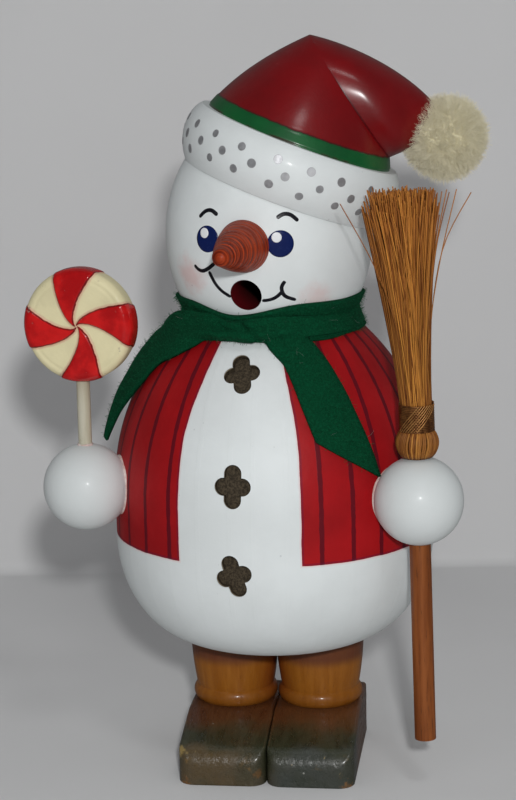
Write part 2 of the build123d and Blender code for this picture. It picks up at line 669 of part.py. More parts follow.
def biarc(start, heading, end, end_heading):
    """Two arcs from start to end that leave and arrive along the given headings."""
    chord = end - start
    both = heading + end_heading
    square = both.dot(both) - 4
    along = chord.dot(both)
    reach = (along - math.sqrt(along**2 - square * chord.dot(chord))) / square
    first = start + heading * reach
    last = end - end_heading * reach
    middle = (first + last) / 2
    return [Edge.make_tangent_arc(start, heading, middle), Edge.make_tangent_arc(middle, last - first, end)]


def wire_path():
    """Winding with both ends tucked square into the straw."""
    straight = 2 * WIRE_RADIUS
    first, last = wire_ends()
    halves = 2 * WIRE_TURNS
    edges = [Edge.make_line(first.origin - first.z_dir * straight, first.origin)]
    edges.append(Edge.make_tangent_arc(first.origin, first.z_dir, wire_point(0)))
    for half in range(halves):
        edges += biarc(wire_point(half), wire_heading(half), wire_point(half + 1), wire_heading(half + 1))
    edges.append(Edge.make_tangent_arc(wire_point(halves), wire_heading(halves), last.origin))
    edges.append(Edge.make_line(last.origin, last.origin - last.z_dir * straight))
    return Wire(edges)


def least_wire_gap(path):
    """Smallest gap between turns, on points along the wire's middle line."""
    count = WIRE_SAMPLES * WIRE_TURNS
    points = [path.position_at(step / count) for step in range(count + 1)]
    nearest = WIRE_STEP * WIRE_TURNS
    for here in range(count + 1):
        for there in range(here + WIRE_SAMPLES // 2, count + 1):
            nearest = min(nearest, (points[here] - points[there]).length)
    return nearest - 2 * WIRE_RADIUS


def broom_binding():
    path = wire_path()
    print("binding: least gap between turns %.2f mm" % least_wire_gap(path))
    start = Plane(origin=path.position_at(0), z_dir=path.tangent_at(0))
    return broom_frame() * sweep(start * Circle(WIRE_RADIUS), path)


# Scarf

def off_wood(edge):
    """Point that lies a distance off the body's shoulder."""
    angle, drop, stand_off = edge
    z = BODY_TOP - drop
    slope = math.asin(max(0.0, min(z, BODY_TOP) - SHOULDER_Z) / SHOULDER_RADIUS)
    if drop < 0:
        return around(body_radius(z) + stand_off, angle, z)
    return around(body_radius(z) + stand_off * math.cos(slope), angle, z + stand_off * math.sin(slope))


def strip_section(one, other):
    """Cross-section of the felt strip between its two edges, bowed over the body."""
    start = off_wood(one)
    end = off_wood(other)
    middle = off_wood([(a + b) / 2 for a, b in zip(one, other)])
    chord = (end - start).normalized()
    bow = middle - (start + end) / 2
    out = (bow - chord * bow.dot(chord)).normalized() * SCARF_THICK
    return Wire([
        Edge.make_three_point_arc(start, middle, end),
        Edge.make_line(end, end + out),
        Edge.make_three_point_arc(end + out, middle + out, start + out),
        Edge.make_line(start + out, start),
    ])


def scarf_ring():
    """Felt wound round the neck in two folds, with a crease between them."""
    rim = body_radius(BODY_TOP)
    low = BODY_TOP - SCARF_TUCK
    crease = (rim + SCARF_FULLNESS - SCARF_CREASE_DEPTH, BODY_TOP + SCARF_CREASE)
    high = BODY_TOP + SCARF_RISE
    full = rim + SCARF_FULLNESS
    inside = rim - SCARF_REACH_IN
    ring = turned([
        Line((inside, low), (full, low)),
        ThreePointArc((full, low), (full, BODY_TOP + SCARF_CREASE / 3), crease),
        ThreePointArc(crease, (full + SCARF_LIP, (2 * high + crease[1]) / 3), (full - SCARF_LIP, high)),
        Line((full - SCARF_LIP, high), (inside, high)),
        Line((inside, high), (inside, low)),
    ])
    return ring - body_solid(FELT_GAP) - head_solid(FELT_GAP)


def scarf():
    ring = scarf_ring()
    tails = []
    for tail in (RIGHT_TAIL, LEFT_TAIL):
        tails.append(Solid.make_loft([strip_section(*edges) for edges in tail]))
    return ring.fuse(*tails) - head_solid(FELT_GAP)


NODES = {
    "shoe_left": BASE_PLACE * shoe(LEFT),
    "shoe_right": BASE_PLACE * shoe(RIGHT),
    "leg_left": BASE_PLACE * leg(LEFT),
    "leg_right": BASE_PLACE * leg(RIGHT),
    "shoe_dowels": leg_dowels(SHOE_HEIGHT),
    "leg_dowels": leg_dowels(BODY_BASE),
    "plug": BASE_PLACE * plug(),
    "tray_nail": tray_nail(),
    "incense_tray": incense_tray(),
    "body": body(),
    "head": head(),
    "nose": nose(),
    "hat_brim": hat_brim(),
    "hat_crown": hat_crown(),
    "hat_tip": hat_tip(),
    "hat_dowel": hat_dowel(),
    "tip_dowel": tip_dowel(),
    "pompom": pompom(),
    "hand_left": hand(LEFT),
    "hand_right": hand(RIGHT),
    "hand_dowels": hand_dowels(),
    "lollipop_stick": lollipop_stick(),
    "lollipop_disc": lollipop_disc(),
    "broom_stick": broom_stick(),
    "broom_bristles": broom_bristles(),
    "broom_binding": broom_binding(),
    "scarf": scarf(),
}

os.makedirs("parts", exist_ok=True)
for name, shape in NODES.items():
    export_step(shape, os.path.join("parts", name + ".step"))
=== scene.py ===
"""The looks of a turned wooden incense smoker: a snowman with a bent cap, a lollipop and a broom."""
import math
import random

import bmesh
import bpy
from mathutils import Matrix, Vector, noise


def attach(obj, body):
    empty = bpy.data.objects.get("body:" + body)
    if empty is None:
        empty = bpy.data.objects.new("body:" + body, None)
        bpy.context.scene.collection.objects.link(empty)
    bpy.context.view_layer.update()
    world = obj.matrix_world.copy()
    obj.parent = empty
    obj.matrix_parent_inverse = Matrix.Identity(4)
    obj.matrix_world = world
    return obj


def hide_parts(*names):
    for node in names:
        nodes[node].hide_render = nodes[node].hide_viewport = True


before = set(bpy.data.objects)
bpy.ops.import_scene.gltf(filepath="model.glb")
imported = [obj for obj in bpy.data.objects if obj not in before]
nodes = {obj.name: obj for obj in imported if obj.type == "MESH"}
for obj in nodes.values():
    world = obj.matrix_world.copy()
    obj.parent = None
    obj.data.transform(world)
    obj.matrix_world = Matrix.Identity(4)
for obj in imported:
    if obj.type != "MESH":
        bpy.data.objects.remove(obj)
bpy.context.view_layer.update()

# Sizes are in millimetres and follow the wooden parts.
MM = 0.001

# The body: an egg with a rounded foot, a short upright side and an arched shoulder.
BODY_RADIUS = 54.3
BODY_TOP = 150.0
FOOT_TOP = 78.0
FOOT_RISE = 36.0
FOOT_REACH = 28.0
SHOULDER_FOOT = 95.0
SHOULDER_RADIUS = 73.0

# The head: an upright ellipsoid.
HEAD_CENTRE = 180.1
HEAD_RADIUS = 34.6
HEAD_HALF_HEIGHT = 42.0
HAT_EDGE = 195.0           # below this height, bored wood inside the head is the mouth's
# Cheeks: degrees from the front, height and strength
CHEEKS = ((-36.8, 169.5, 0.45), (42.8, 161.4, 0.34))

# The cap stands on the brim, leaning to the figure's left and bent over at the seam.
CAP_FOOT = Vector((10.51, 2.04, 211.9))
CAP_UP = Vector((0.3550, 0.0690, 0.9323))
CAP_OUT = Vector((0.9152, 0.1779, -0.3616))
CROWN_RADIUS = 31.8
CROWN_SLOPE = -0.381
CROWN_CURVE = -0.01024
SEAM_TOP = (-8.5, 32.6)
SEAM_LOW = (30.1, 4.2)
TIP_TOP_LINE = ((-8.5, 32.6), (6.0, 34.6), (28.0, 32.6), (41.5, 23.5))
TIP_LOW_LINE = ((30.1, 4.2), (32.5, 6.2), (36.0, 9.8), (41.0, 12.2))
TIP_END_DEPTH = 6.0
SEAM_STEP = 1.0
BAND_LOW = 0.5
BAND_TOP = 4.3
BAND_PROUD = 0.28
BAND_EDGE = 0.25
ABOVE_BAND = 20.0          # the height that stands for the tip, clear of the band
BRIM_PROFILE = ((-19.3, 33.4), (-12.93, 36.6), (-8.69, 37.2), (-2.9, 36.2), (0.0, 34.2))
POMPOM_CENTRE = (45.3, 16.6)
POMPOM_RADIUS = 14.5
POMPOM_PILE = 3.3

# The foil dots on the brim: three rows, the middle one half a step round.
DOT_ROWS = (-5.8, -9.8, -13.9)
DOTS_PER_ROW = 20
DOT_RADIUS = 1.45
DOT_LIFT = 0.07
DOT_FIRST = -61.0
DOT_PROFILE = ((0.9, -0.9), (1.0, -0.05), (0.97, 0.0), (0.5, 0.0))     # share of the radius, and height

# The hands, the lollipop and the broom.
HAND_OUT = 56.29
HAND_FRONT = -32.5
HAND_HEIGHT = 98.5
HAND_RADIUS = 14.5
SWEET_HEIGHT = 153.4
SWEET_RADIUS = 18.6
SWEET_THICKNESS = 9.0
STICK_RADIUS = 2.25
BROOM_TURN = 14.5
BROOM_LEAN = 1.2
BULB_FOOT = 14.8
BULB_TOP = 23.0
BULB_RADIUS = 6.85
BUNDLE_RADIUS = 5.0
BINDING_TOP = 32.4
STRAW_TOP = 100.5

# Loose fibres of wool and felt: how many on a square metre, length, lean, curl, how tight the curls
# are, thickness, points along each fibre and seed.
WOOL_PILE = ((4.2e6, 4.3, 0.6, 2.4, 420.0, 0.034, 5, 5), (4.2e6, 3.8, 1.0, 2.4, 420.0, 0.034, 5, 17),
             (4.2e6, 3.3, 1.6, 2.4, 420.0, 0.034, 5, 31), (4.2e6, 4.5, 0.8, 2.4, 420.0, 0.034, 5, 43))
FELT_PILE = {"scarf_fuzz_short": (1.7e6, 1.9, 1.8, 1.6, 700.0, 0.045, 4, 9),
             "scarf_fuzz_long": (1.3e6, 2.5, 1.5, 2.4, 450.0, 0.036, 5, 27),
             "scarf_threads": (9.0e3, 7.0, 3.0, 6.0, 150.0, 0.020, 26, 3)}
FELT_THICKNESS = 1.5

# The base: the two shoes lie side by side, each a block that slopes down to a rounded toe.
BASE_TURN = 7.5
LEG_TOP = 42.0
SHOE_PARTING = 0.2
SHOE_WIDTH = 29.4
SHOE_TOE = 41.0
SHOE_HEEL = 16.5
SHOE_HEIGHT = 18.0
SHOE_TOE_HEIGHT = 11.4
SHOE_INSTEP = 13.0
SHOE_ROUND = 5.0
SHOE_EDGE = 1.1
SOLE_EDGE = 0.4
SHOE_UNEVEN = 0.16
SHOE_SEED = 7              # vector noise needs one; without it, each run would differ
# Places where the shoes' stain is rubbed off: point before the base is turned, size and bare colour
SHOE_WEAR = (((-29.2, -38.2, 10.4), 3.0, (0.32, 0.225, 0.080)),
             ((-28.4, -41.2, 0.0), 3.4, (0.21, 0.092, 0.026)),
             ((-1.8, -41.0, 4.5), 2.6, (0.15, 0.075, 0.024)),
             ((28.6, -41.2, 0.0), 3.4, (0.24, 0.110, 0.034)))

# The camera, worked out from the photograph.
CAMERA_PLACE = Vector((182.8, -706.8, 273.0))
CAMERA_PITCH = 11.6
CAMERA_PAN = 0.39
CAMERA_ROLL = 1.22
CAMERA_LENS = 98.73
SENSOR_WIDTH = 36.0
TOWARD_CAMERA = Vector((CAMERA_PLACE.x, CAMERA_PLACE.y, 0.0)).normalized()
CAMERA_RIGHT = Vector((-TOWARD_CAMERA.y, TOWARD_CAMERA.x, 0.0))

# The stage and its lights: name, way towards the camera, to its right and up, width, and watts.
WALL_BEHIND = 223.0
WALL_HEIGHT = 1500.0
STAGE_REACH = 1600.0
FLOOR_GREY = 0.70
SKY = (0.95, 0.97, 1.0)
LIGHT_TARGET = 120.0       # the height that the lights point at
LIGHTS = (("lamp", 900.0, 45.0, 405.0, 50.0, 4.3), ("window", -350.0, 900.0, 480.0, 350.0, 0.9),
          ("ceiling", 640.0, 170.0, 980.0, 180.0, 0.8))


# Node trees.
class Tree:
    """Adds nodes to a node tree; each call gives back one output of the new node."""

    def __init__(self, tree, material=None):
        self.tree = tree
        self.material = material

    def add(self, kind, inputs, **settings):
        """A new node, with a link or a value on each given input; a colour is three numbers."""
        node = self.tree.nodes.new(kind)
        for name, value in settings.items():
            setattr(node, name, value)
        for key, value in inputs.items():
            if isinstance(value, bpy.types.NodeSocket):
                self.tree.links.new(value, node.inputs[key])
            elif node.inputs[key].type == "RGBA":
                node.inputs[key].default_value = (*value, 1.0)
            else:
                node.inputs[key].default_value = value
        return node

    def __call__(self, kind, inputs=None, out=0, **settings):
        node = self.add(kind, inputs or {}, **settings)
        return node.outputs[out] if len(node.outputs) else None

    def maths(self, operation, *values):
        return self("ShaderNodeMath", dict(enumerate(values)), operation=operation)

    def plus(self, first, second):
        return self.maths("ADD", first, second)

    def minus(self, first, second):
        return self.maths("SUBTRACT", first, second)

    def times(self, first, second):
        return self.maths("MULTIPLY", first, second)

    def vector(self, operation, *values, out=0):
        return self("ShaderNodeVectorMath", dict(enumerate(values)), out=out, operation=operation)

    def split(self, vector):
        """The three numbers of a vector."""
        return self.add("ShaderNodeSeparateXYZ", {0: vector}).outputs

    def rise(self, value, low, high, start=0.0, end=1.0):
        """Goes smoothly from start to end as the value goes from low to high."""
        inputs = {"Value": value, "From Min": low, "From Max": high, "To Min": start, "To Max": end}
        return self("ShaderNodeMapRange", inputs, interpolation_type="SMOOTHSTEP")

    def between(self, value, low, full, past, high):
        """1 from full to past, fading out to 0 at low and at high."""
        return self.times(self.rise(value, low, full), self.rise(value, past, high, 1.0, 0.0))

    def mix(self, share, first, second):
        """The first colour where share is 0, the second where it is 1."""
        return self("ShaderNodeMix", {0: share, 6: first, 7: second}, out=2, data_type="RGBA")

    def tint(self, tone, share, most, colour):
        """A tone with a colour laid over it; most is how much of it there is where share is 1."""
        return self.mix(self.times(share, most), tone, colour)

    def noise(self, position, scale, detail=3.0, roughness=0.55, out=0):
        inputs = {"Vector": position, "Scale": scale, "Detail": detail, "Roughness": roughness}
        return self("ShaderNodeTexNoise", inputs, out=out)

    def blotch(self, position, scale, detail, *limits):
        """Soft-edged patches of noise; the limits are those of rise."""
        return self.rise(self.noise(position, scale, detail), *limits)

    def attribute(self, name):
        return self("ShaderNodeAttribute", out=2, attribute_name=name)

    def chance(self, low, high, seed):
        """A random number for each point."""
        return self("FunctionNodeRandomValue", {2: low, 3: high, "Seed": seed}, out=1, data_type="FLOAT")

    def group(self, tree, place):
        """Adds a shared group and gives back all its outputs by name."""
        return self.add("ShaderNodeGroup", {"Position": place}, node_tree=tree).outputs


def new_group(name, kind, inputs, outputs):
    """An empty node group; inputs and outputs hold the names of its sockets for each type."""
    tree = bpy.data.node_groups.new(name, kind)
    for way, sockets in (("INPUT", inputs), ("OUTPUT", outputs)):
        for socket, labels in sockets.items():
            for label in labels.split():
                tree.interface.new_socket(label, in_out=way, socket_type="NodeSocket" + socket)
    source = tree.nodes.new("NodeGroupInput")
    sink = tree.nodes.new("NodeGroupOutput")
    return Tree(tree), source.outputs, sink.inputs


def look_group(name, outputs):
    """An empty shader group that takes a place and gives numbers."""
    return new_group(name, "ShaderNodeTree", {"Vector": "Position"}, {"Float": outputs})


def shape_group(name, **sockets):
    """An empty geometry group that takes a mesh, a finish and more, and gives a mesh."""
    inputs = {"Geometry": "Mesh", "Material": "Finish", **sockets}
    return new_group(name, "GeometryNodeTree", inputs, {"Geometry": "Mesh"})


def give(t, results, **values):
    """Links what a group gives out, and returns the group's tree."""
    for name, value in values.items():
        t.tree.links.new(value, results[name])
    return t.tree


def lacquer_group():
    """Hand-painted lacquer: uneven tone, dust nibs and small scuffs, and a slightly wavy skin."""
    t, given, results = look_group("lacquer", "Mottle Specks Scuffs Height")
    place = given["Position"]
    mottle = t.blotch(place, 0.045, 4.0, 0.3, 0.7)
    cell = t("ShaderNodeTexVoronoi", {"Vector": place, "Scale": 0.16, "Randomness": 1.0})
    patchy = t.blotch(place, 0.06, 2.0, 0.5, 0.62)
    specks = t.times(t.rise(cell, 0.035, 0.07, 1.0, 0.0), patchy)
    stretched = t.vector("MULTIPLY", place, (1.0, 1.0, 0.18))
    lines = t.blotch(stretched, 0.9, 2.0, 0.7, 0.76)
    scuffs = t.times(lines, t.blotch(place, 0.035, 2.0, 0.52, 0.66))
    skin = t.noise(place, 0.55, 2.0)
    height = t.plus(skin, t.times(specks, 0.6))
    return give(t, results, Mottle=mottle, Specks=specks, Scuffs=scuffs, Height=height)


def grain_group():
    """Wood with its grain along Z: broad streaks, fine pores, and their relief."""
    t, given, results = look_group("grain", "Streaks Pores Height")
    place = given["Position"]
    along = t.vector("MULTIPLY", place, (1.0, 1.0, 0.07))
    streaks = t.rise(t.noise(along, 0.42, 5.0, 0.6), 0.3, 0.7)
    pores = t.blotch(along, 2.6, 2.0, 0.6, 0.72)
    height = t.minus(streaks, pores)
    return give(t, results, Streaks=streaks, Pores=pores, Height=height)


def fibre_group():
    """Matted fibres: a tangled tone and its relief."""
    t, given, results = look_group("fibres", "Tone Pale Height")
    place = given["Position"]
    swirl = t.noise(place, 0.5, 2.0, out=1)
    wound = t.vector("MULTIPLY_ADD", swirl, (2.2, 2.2, 2.2), place)
    tone = t.rise(t.noise(wound, 1.5, 6.0, 0.7), 0.3, 0.7)
    pale = t.rise(t.noise(wound, 2.4, 3.0, 0.7), 0.6, 0.75)
    height = t.noise(wound, 3.0, 4.0, 0.7)
    return give(t, results, Tone=tone, Pale=pale, Height=height)


LACQUER = lacquer_group()
GRAIN = grain_group()
FIBRES = fibre_group()


def new_material(name):
    """The tree of a new material, and the place on the object in millimetres."""
    made = bpy.data.materials.new(name)
    made.use_nodes = True
    made.node_tree.nodes.clear()
    t = Tree(made.node_tree, made)
    place = t("ShaderNodeTexCoord", out=3)
    return t, t.vector("MULTIPLY", place, (1 / MM, 1 / MM, 1 / MM))


def shade(t, base, roughness, height=None, depth=0.05, **others):
    """Ends a material with one Principled shader; depth is the relief's height in millimetres."""
    inputs = {"Base Color": base, "Roughness": roughness, "Specular IOR Level": 0.2}
    for name, value in others.items():
        inputs[name.replace("_", " ").title().replace("Ior", "IOR")] = value
    if height is not None:
        bump = {"Strength": 1.0, "Distance": depth * MM, "Height": height}
        inputs["Normal"] = t("ShaderNodeBump", bump)
    surface = t("ShaderNodeBsdfPrincipled", inputs)
    t("ShaderNodeOutputMaterial", {"Surface": surface})
    return t.material


def from_axis(t, place):
    """The distance from the figure's upright axis."""
    return t.vector("LENGTH", t.vector("MULTIPLY", place, (1.0, 1.0, 0.0)), out=1)


WHITE = (0.76, 0.80, 0.80)
WHITE_WORN = (0.62, 0.65, 0.645)
DUST = (0.30, 0.31, 0.33)


def painted_white(t, place):
    """White lacquer with faint grey mottling, scuffs and specks; gives its colour and relief."""
    look = t.group(LACQUER, place)
    tone = t.tint(WHITE, look["Mottle"], 0.35, WHITE_WORN)
    tone = t.tint(tone, look["Scuffs"], 0.12, WHITE_WORN)
    tone = t.tint(tone, look["Specks"], 0.55, DUST)
    return tone, look


def white_finish(name, worn):
    t, place = new_material(name)
    tone, look = painted_white(t, place)
    # worn greys the whole white evenly; on the hands it is painted shade.
    tone = t.mix(worn, tone, WHITE_WORN)
    rough = t.rise(look["Mottle"], 0.0, 1.0, 0.40, 0.50)
    return shade(t, tone, rough, look["Height"], depth=0.04, coat_weight=0.05, coat_roughness=0.13)


def head_finish():
    """White lacquer with two airbrushed cheeks, and dark red paint inside the mouth that turns almost
    black further in, as painted shade.
    """
    t, place = new_material("head_lacquer")
    tone, look = painted_white(t, place)
    for angle, height, share in CHEEKS:
        cheek = tuple(on_head(angle, height, 0.0))
        away = t.vector("DISTANCE", place, cheek, out=1)
        uneven = t.plus(away, t.rise(t.noise(place, 0.25), 0.3, 0.7, -1.2, 1.2))
        tone = t.mix(t.rise(uneven, 1.5, 9.0, share, 0.0), tone, (0.68, 0.33, 0.30))
    scaled = t.vector("MULTIPLY_ADD", place,
                      (1 / HEAD_RADIUS, 1 / HEAD_RADIUS, 1 / HEAD_HALF_HEIGHT),
                      (0.0, 0.0, -HEAD_CENTRE / HEAD_HALF_HEIGHT))
    out = t.vector("LENGTH", scaled, out=1)
    inside = t.rise(out, 0.988, 0.997, 1.0, 0.0)
    # Deeper inside the mouth the red goes almost black: painted shade in the bore.
    deep = t.rise(out, 0.42, 0.90)
    mouth_red_and_painted_shade = t.mix(deep, (0.016, 0.005, 0.005), (0.17, 0.007, 0.011))
    under_hat = t.rise(t.split(place)[2], HAT_EDGE, HAT_EDGE + 1.0, 1.0, 0.0)
    tone = t.mix(t.times(inside, under_hat), tone, mouth_red_and_painted_shade)
    rough = t.rise(look["Mottle"], 0.0, 1.0, 0.46, 0.56)
    return shade(t, tone, rough, look["Height"], depth=0.04)


RED = (0.40, 0.0070, 0.010)
RED_DEEP = (0.30, 0.0045, 0.007)
STRIPE = (0.110, 0.004, 0.011)
PANEL_LEFT = 20.6
PANEL_RIGHT = 23.3
PANEL_NARROWING = 3.6
PANEL_WAIST = 118.0
HEM = 79.5
STRIPE_FIRST_LEFT = 25.0
STRIPE_STEP_LEFT = 11.9
STRIPE_FIRST_RIGHT = 30.4
STRIPE_STEP_RIGHT = 11.7
STRIPE_HALF_WIDTH = 0.8


def body_finish():
    """A red vest with dark stripes over white, and bare wood wherever the paint doesn't reach, painted
    darker further in as shade.
    """
    t, place = new_material("body_paint")
    white, look = painted_white(t, place)
    x, y, z = t.split(place)
    across = from_axis(t, place)
    turn = t.maths("DEGREES", t.maths("ARCTAN2", x, t.times(y, -1.0)))
    waver = t.blotch(place, 0.13, 3.0, 0.2, 0.8, -0.14, 0.14)
    edge = t.rise(turn, -0.5, 0.5, PANEL_LEFT, PANEL_RIGHT)
    edge = t.minus(edge, t.rise(z, PANEL_WAIST, BODY_TOP, 0.0, PANEL_NARROWING))
    degrees_off = t.minus(t.maths("ABSOLUTE", turn), edge)
    from_edge = t.times(t.maths("RADIANS", degrees_off), across)
    from_edge = t.plus(from_edge, waver)
    from_hem = t.plus(t.minus(z, HEM), waver)
    into = t.maths("MINIMUM", from_edge, from_hem)
    # Stripes: the distance to the nearest meridian of the set on that side.
    first = t.rise(turn, -0.5, 0.5, STRIPE_FIRST_LEFT, STRIPE_FIRST_RIGHT)
    step = t.rise(turn, -0.5, 0.5, STRIPE_STEP_LEFT, STRIPE_STEP_RIGHT)
    count = t.maths("DIVIDE", t.minus(t.maths("ABSOLUTE", turn), first), step)
    apart = t.minus(count, t.maths("ROUND", count))
    apart = t.times(t.times(t.maths("ABSOLUTE", apart), t.maths("RADIANS", step)), across)
    wide = t.plus(apart, t.blotch(place, 0.3, 2.0, 0.2, 0.8, -0.15, 0.15))
    stripe = t.rise(wide, STRIPE_HALF_WIDTH - 0.12, STRIPE_HALF_WIDTH + 0.14, 1.0, 0.0)
    red = t.mix(look["Mottle"], RED, RED_DEEP)
    red = t.tint(red, stripe, 0.92, STRIPE)
    red = t.tint(red, t.between(into, 0.05, 0.2, 0.6, 1.0), 0.5, (0.13, 0.008, 0.035))
    red = t.tint(red, look["Scuffs"], 0.06, (0.45, 0.12, 0.12))
    white = t.tint(white, t.between(into, -0.75, -0.3, -0.05, 0.1), 0.38, (0.80, 0.52, 0.50))
    tone = t.mix(t.rise(into, -0.06, 0.06), white, red)
    # How far under the painted skin a point lies, from the turned outline.
    low = t.maths("MAXIMUM", t.maths("DIVIDE", t.minus(FOOT_TOP, z), FOOT_RISE), 0.0)
    low = t.maths("MINIMUM", low, 1.0)
    low = t.maths("SQRT", t.minus(1.0, t.times(low, low)))
    high = t.maths("MAXIMUM", t.minus(z, SHOULDER_FOOT), 0.0)
    high = t.minus(SHOULDER_RADIUS ** 2, t.times(high, high))
    high = t.maths("SQRT", t.maths("MAXIMUM", high, 0.0))
    outline = t.maths("MULTIPLY_ADD", low, FOOT_REACH, high)
    outline = t.plus(outline, BODY_RADIUS - FOOT_REACH - SHOULDER_RADIUS)
    under = t.minus(outline, across)
    bare = t.rise(under, 0.35, 0.6)
    grain = t.group(GRAIN, place)
    wood = t.mix(grain["Streaks"], (0.20, 0.150, 0.092), (0.40, 0.320, 0.210))
    # More than about a millimetre under the outline the bare wood turns dark: painted shade in the button
    # recesses and the bore.
    patch = t.rise(t.noise(place, 1.3, 5.0, 0.7), 0.36, 0.66)
    shaded_deep_wood = t.mix(patch, (0.030, 0.023, 0.015), (0.090, 0.069, 0.044))
    wood = t.mix(t.rise(under, 0.7, 1.6), wood, shaded_deep_wood)
    wood = t.tint(wood, grain["Pores"], 0.6, (0.022, 0.015, 0.009))
    tone = t.mix(bare, tone, wood)
    painted = t.rise(look["Mottle"], 0.0, 1.0, 0.42, 0.54)
    rough = t.maths("MAXIMUM", painted, t.rise(bare, 0.0, 1.0, 0.0, 0.75))
    relief = t.plus(look["Height"], t.times(stripe, 0.5))
    relief = t.plus(relief, t.rise(into, -0.1, 0.1, 0.0, 0.8))
    return shade(t, tone, rough, relief, depth=0.05, specular_ior_level=0.14)


def cap_finish():
    """Glossy red lacquer with a green band round the foot of the crown."""
    t, place = new_material("cap_lacquer")
    look = t.group(LACQUER, place)
    height = t.attribute("above_brim")
    waver = t.blotch(place, 0.35, 2.0, 0.2, 0.8, -0.18, 0.18)
    level = t.plus(height, waver)
    red = t.mix(look["Mottle"], (0.200, 0.0020, 0.0040), (0.150, 0.0014, 0.0030))
    red = t.tint(red, look["Specks"], 0.3, (0.4, 0.08, 0.08))
    green = t.mix(look["Mottle"], (0.006, 0.115, 0.028), (0.004, 0.075, 0.020))
    line = t.between(level, BAND_TOP - 0.25, BAND_TOP, BAND_TOP + 0.1, BAND_TOP + 0.5)
    tone = t.mix(t.rise(level, BAND_TOP - 0.05, BAND_TOP + 0.05), green, red)
    tone = t.tint(tone, line, 0.8, (0.03, 0.008, 0.008))
    # Painted shade in the join: the foot of the band, where the crown sits on the brim, is darkened in
    # patches.
    painted_join_shade = t.times(t.rise(level, BAND_LOW - 0.1, BAND_LOW + 0.35, 1.0, 0.0),
                    t.blotch(place, 0.11, 4.0, 0.46, 0.6))
    tone = t.tint(tone, painted_join_shade, 0.85, (0.035, 0.016, 0.010))
    # The crease where the tip leaves the crown is darkened: painted shade.
    painted_crease_shade = t.attribute("crease_shade")
    tone = t.tint(tone, painted_crease_shade, 0.85, (0.035, 0.003, 0.005))
    rough = t.rise(look["Mottle"], 0.0, 1.0, 0.40, 0.48)
    peel = t.plus(look["Height"], t.times(t.noise(place, 2.2, 2.0), 0.25))
    return shade(t, tone, rough, peel, depth=0.07, coat_weight=0.34, coat_roughness=0.19,
                 specular_ior_level=0.25)


def stained_wood(name, dark, light, pores, rough=0.45, coat=0.1):
    """Stained, waxed wood with the grain along Z."""
    t, place = new_material(name)
    grain = t.group(GRAIN, place)
    tone = t.mix(grain["Streaks"], dark, light)
    tone = t.tint(tone, grain["Pores"], 0.7, pores)
    sheen = t.rise(grain["Streaks"], 0.0, 1.0, rough - 0.06, rough + 0.08)
    return shade(t, tone, sheen, grain["Height"], depth=0.08, coat_weight=coat, coat_roughness=0.18)


def leg_finish():
    """Ochre stain, redder where the legs face one another, with the body's shadow painted on as a dark
    band at the top.
    """
    t, place = new_material("leg_stain")
    grain = t.group(GRAIN, place)
    z = t.split(place)[2]
    tone = t.mix(grain["Streaks"], (0.265, 0.086, 0.008), (0.33, 0.117, 0.013))
    inner = t.rise(from_axis(t, place), 3.0, 15.0, 0.8, 0.0)
    tone = t.mix(inner, tone, (0.22, 0.046, 0.010))
    # Painted shadow: a dark band at the top of the legs, where the body's shadow falls.
    top = t.rise(z, LEG_TOP - 10.5, LEG_TOP - 6.0, 0.0, 0.75)
    tone = t.mix(top, tone, (0.085, 0.024, 0.020))
    foot = t.rise(z, SHOE_HEIGHT + 2.0, SHOE_HEIGHT + 7.0, 0.45, 0.0)
    tone = t.mix(foot, tone, (0.17, 0.052, 0.006))
    tone = t.tint(tone, grain["Pores"], 0.25, (0.12, 0.045, 0.008))
    rough = t.rise(grain["Streaks"], 0.0, 1.0, 0.30, 0.42)
    return shade(t, tone, rough, grain["Height"], depth=0.05, coat_weight=0.22, coat_roughness=0.14)


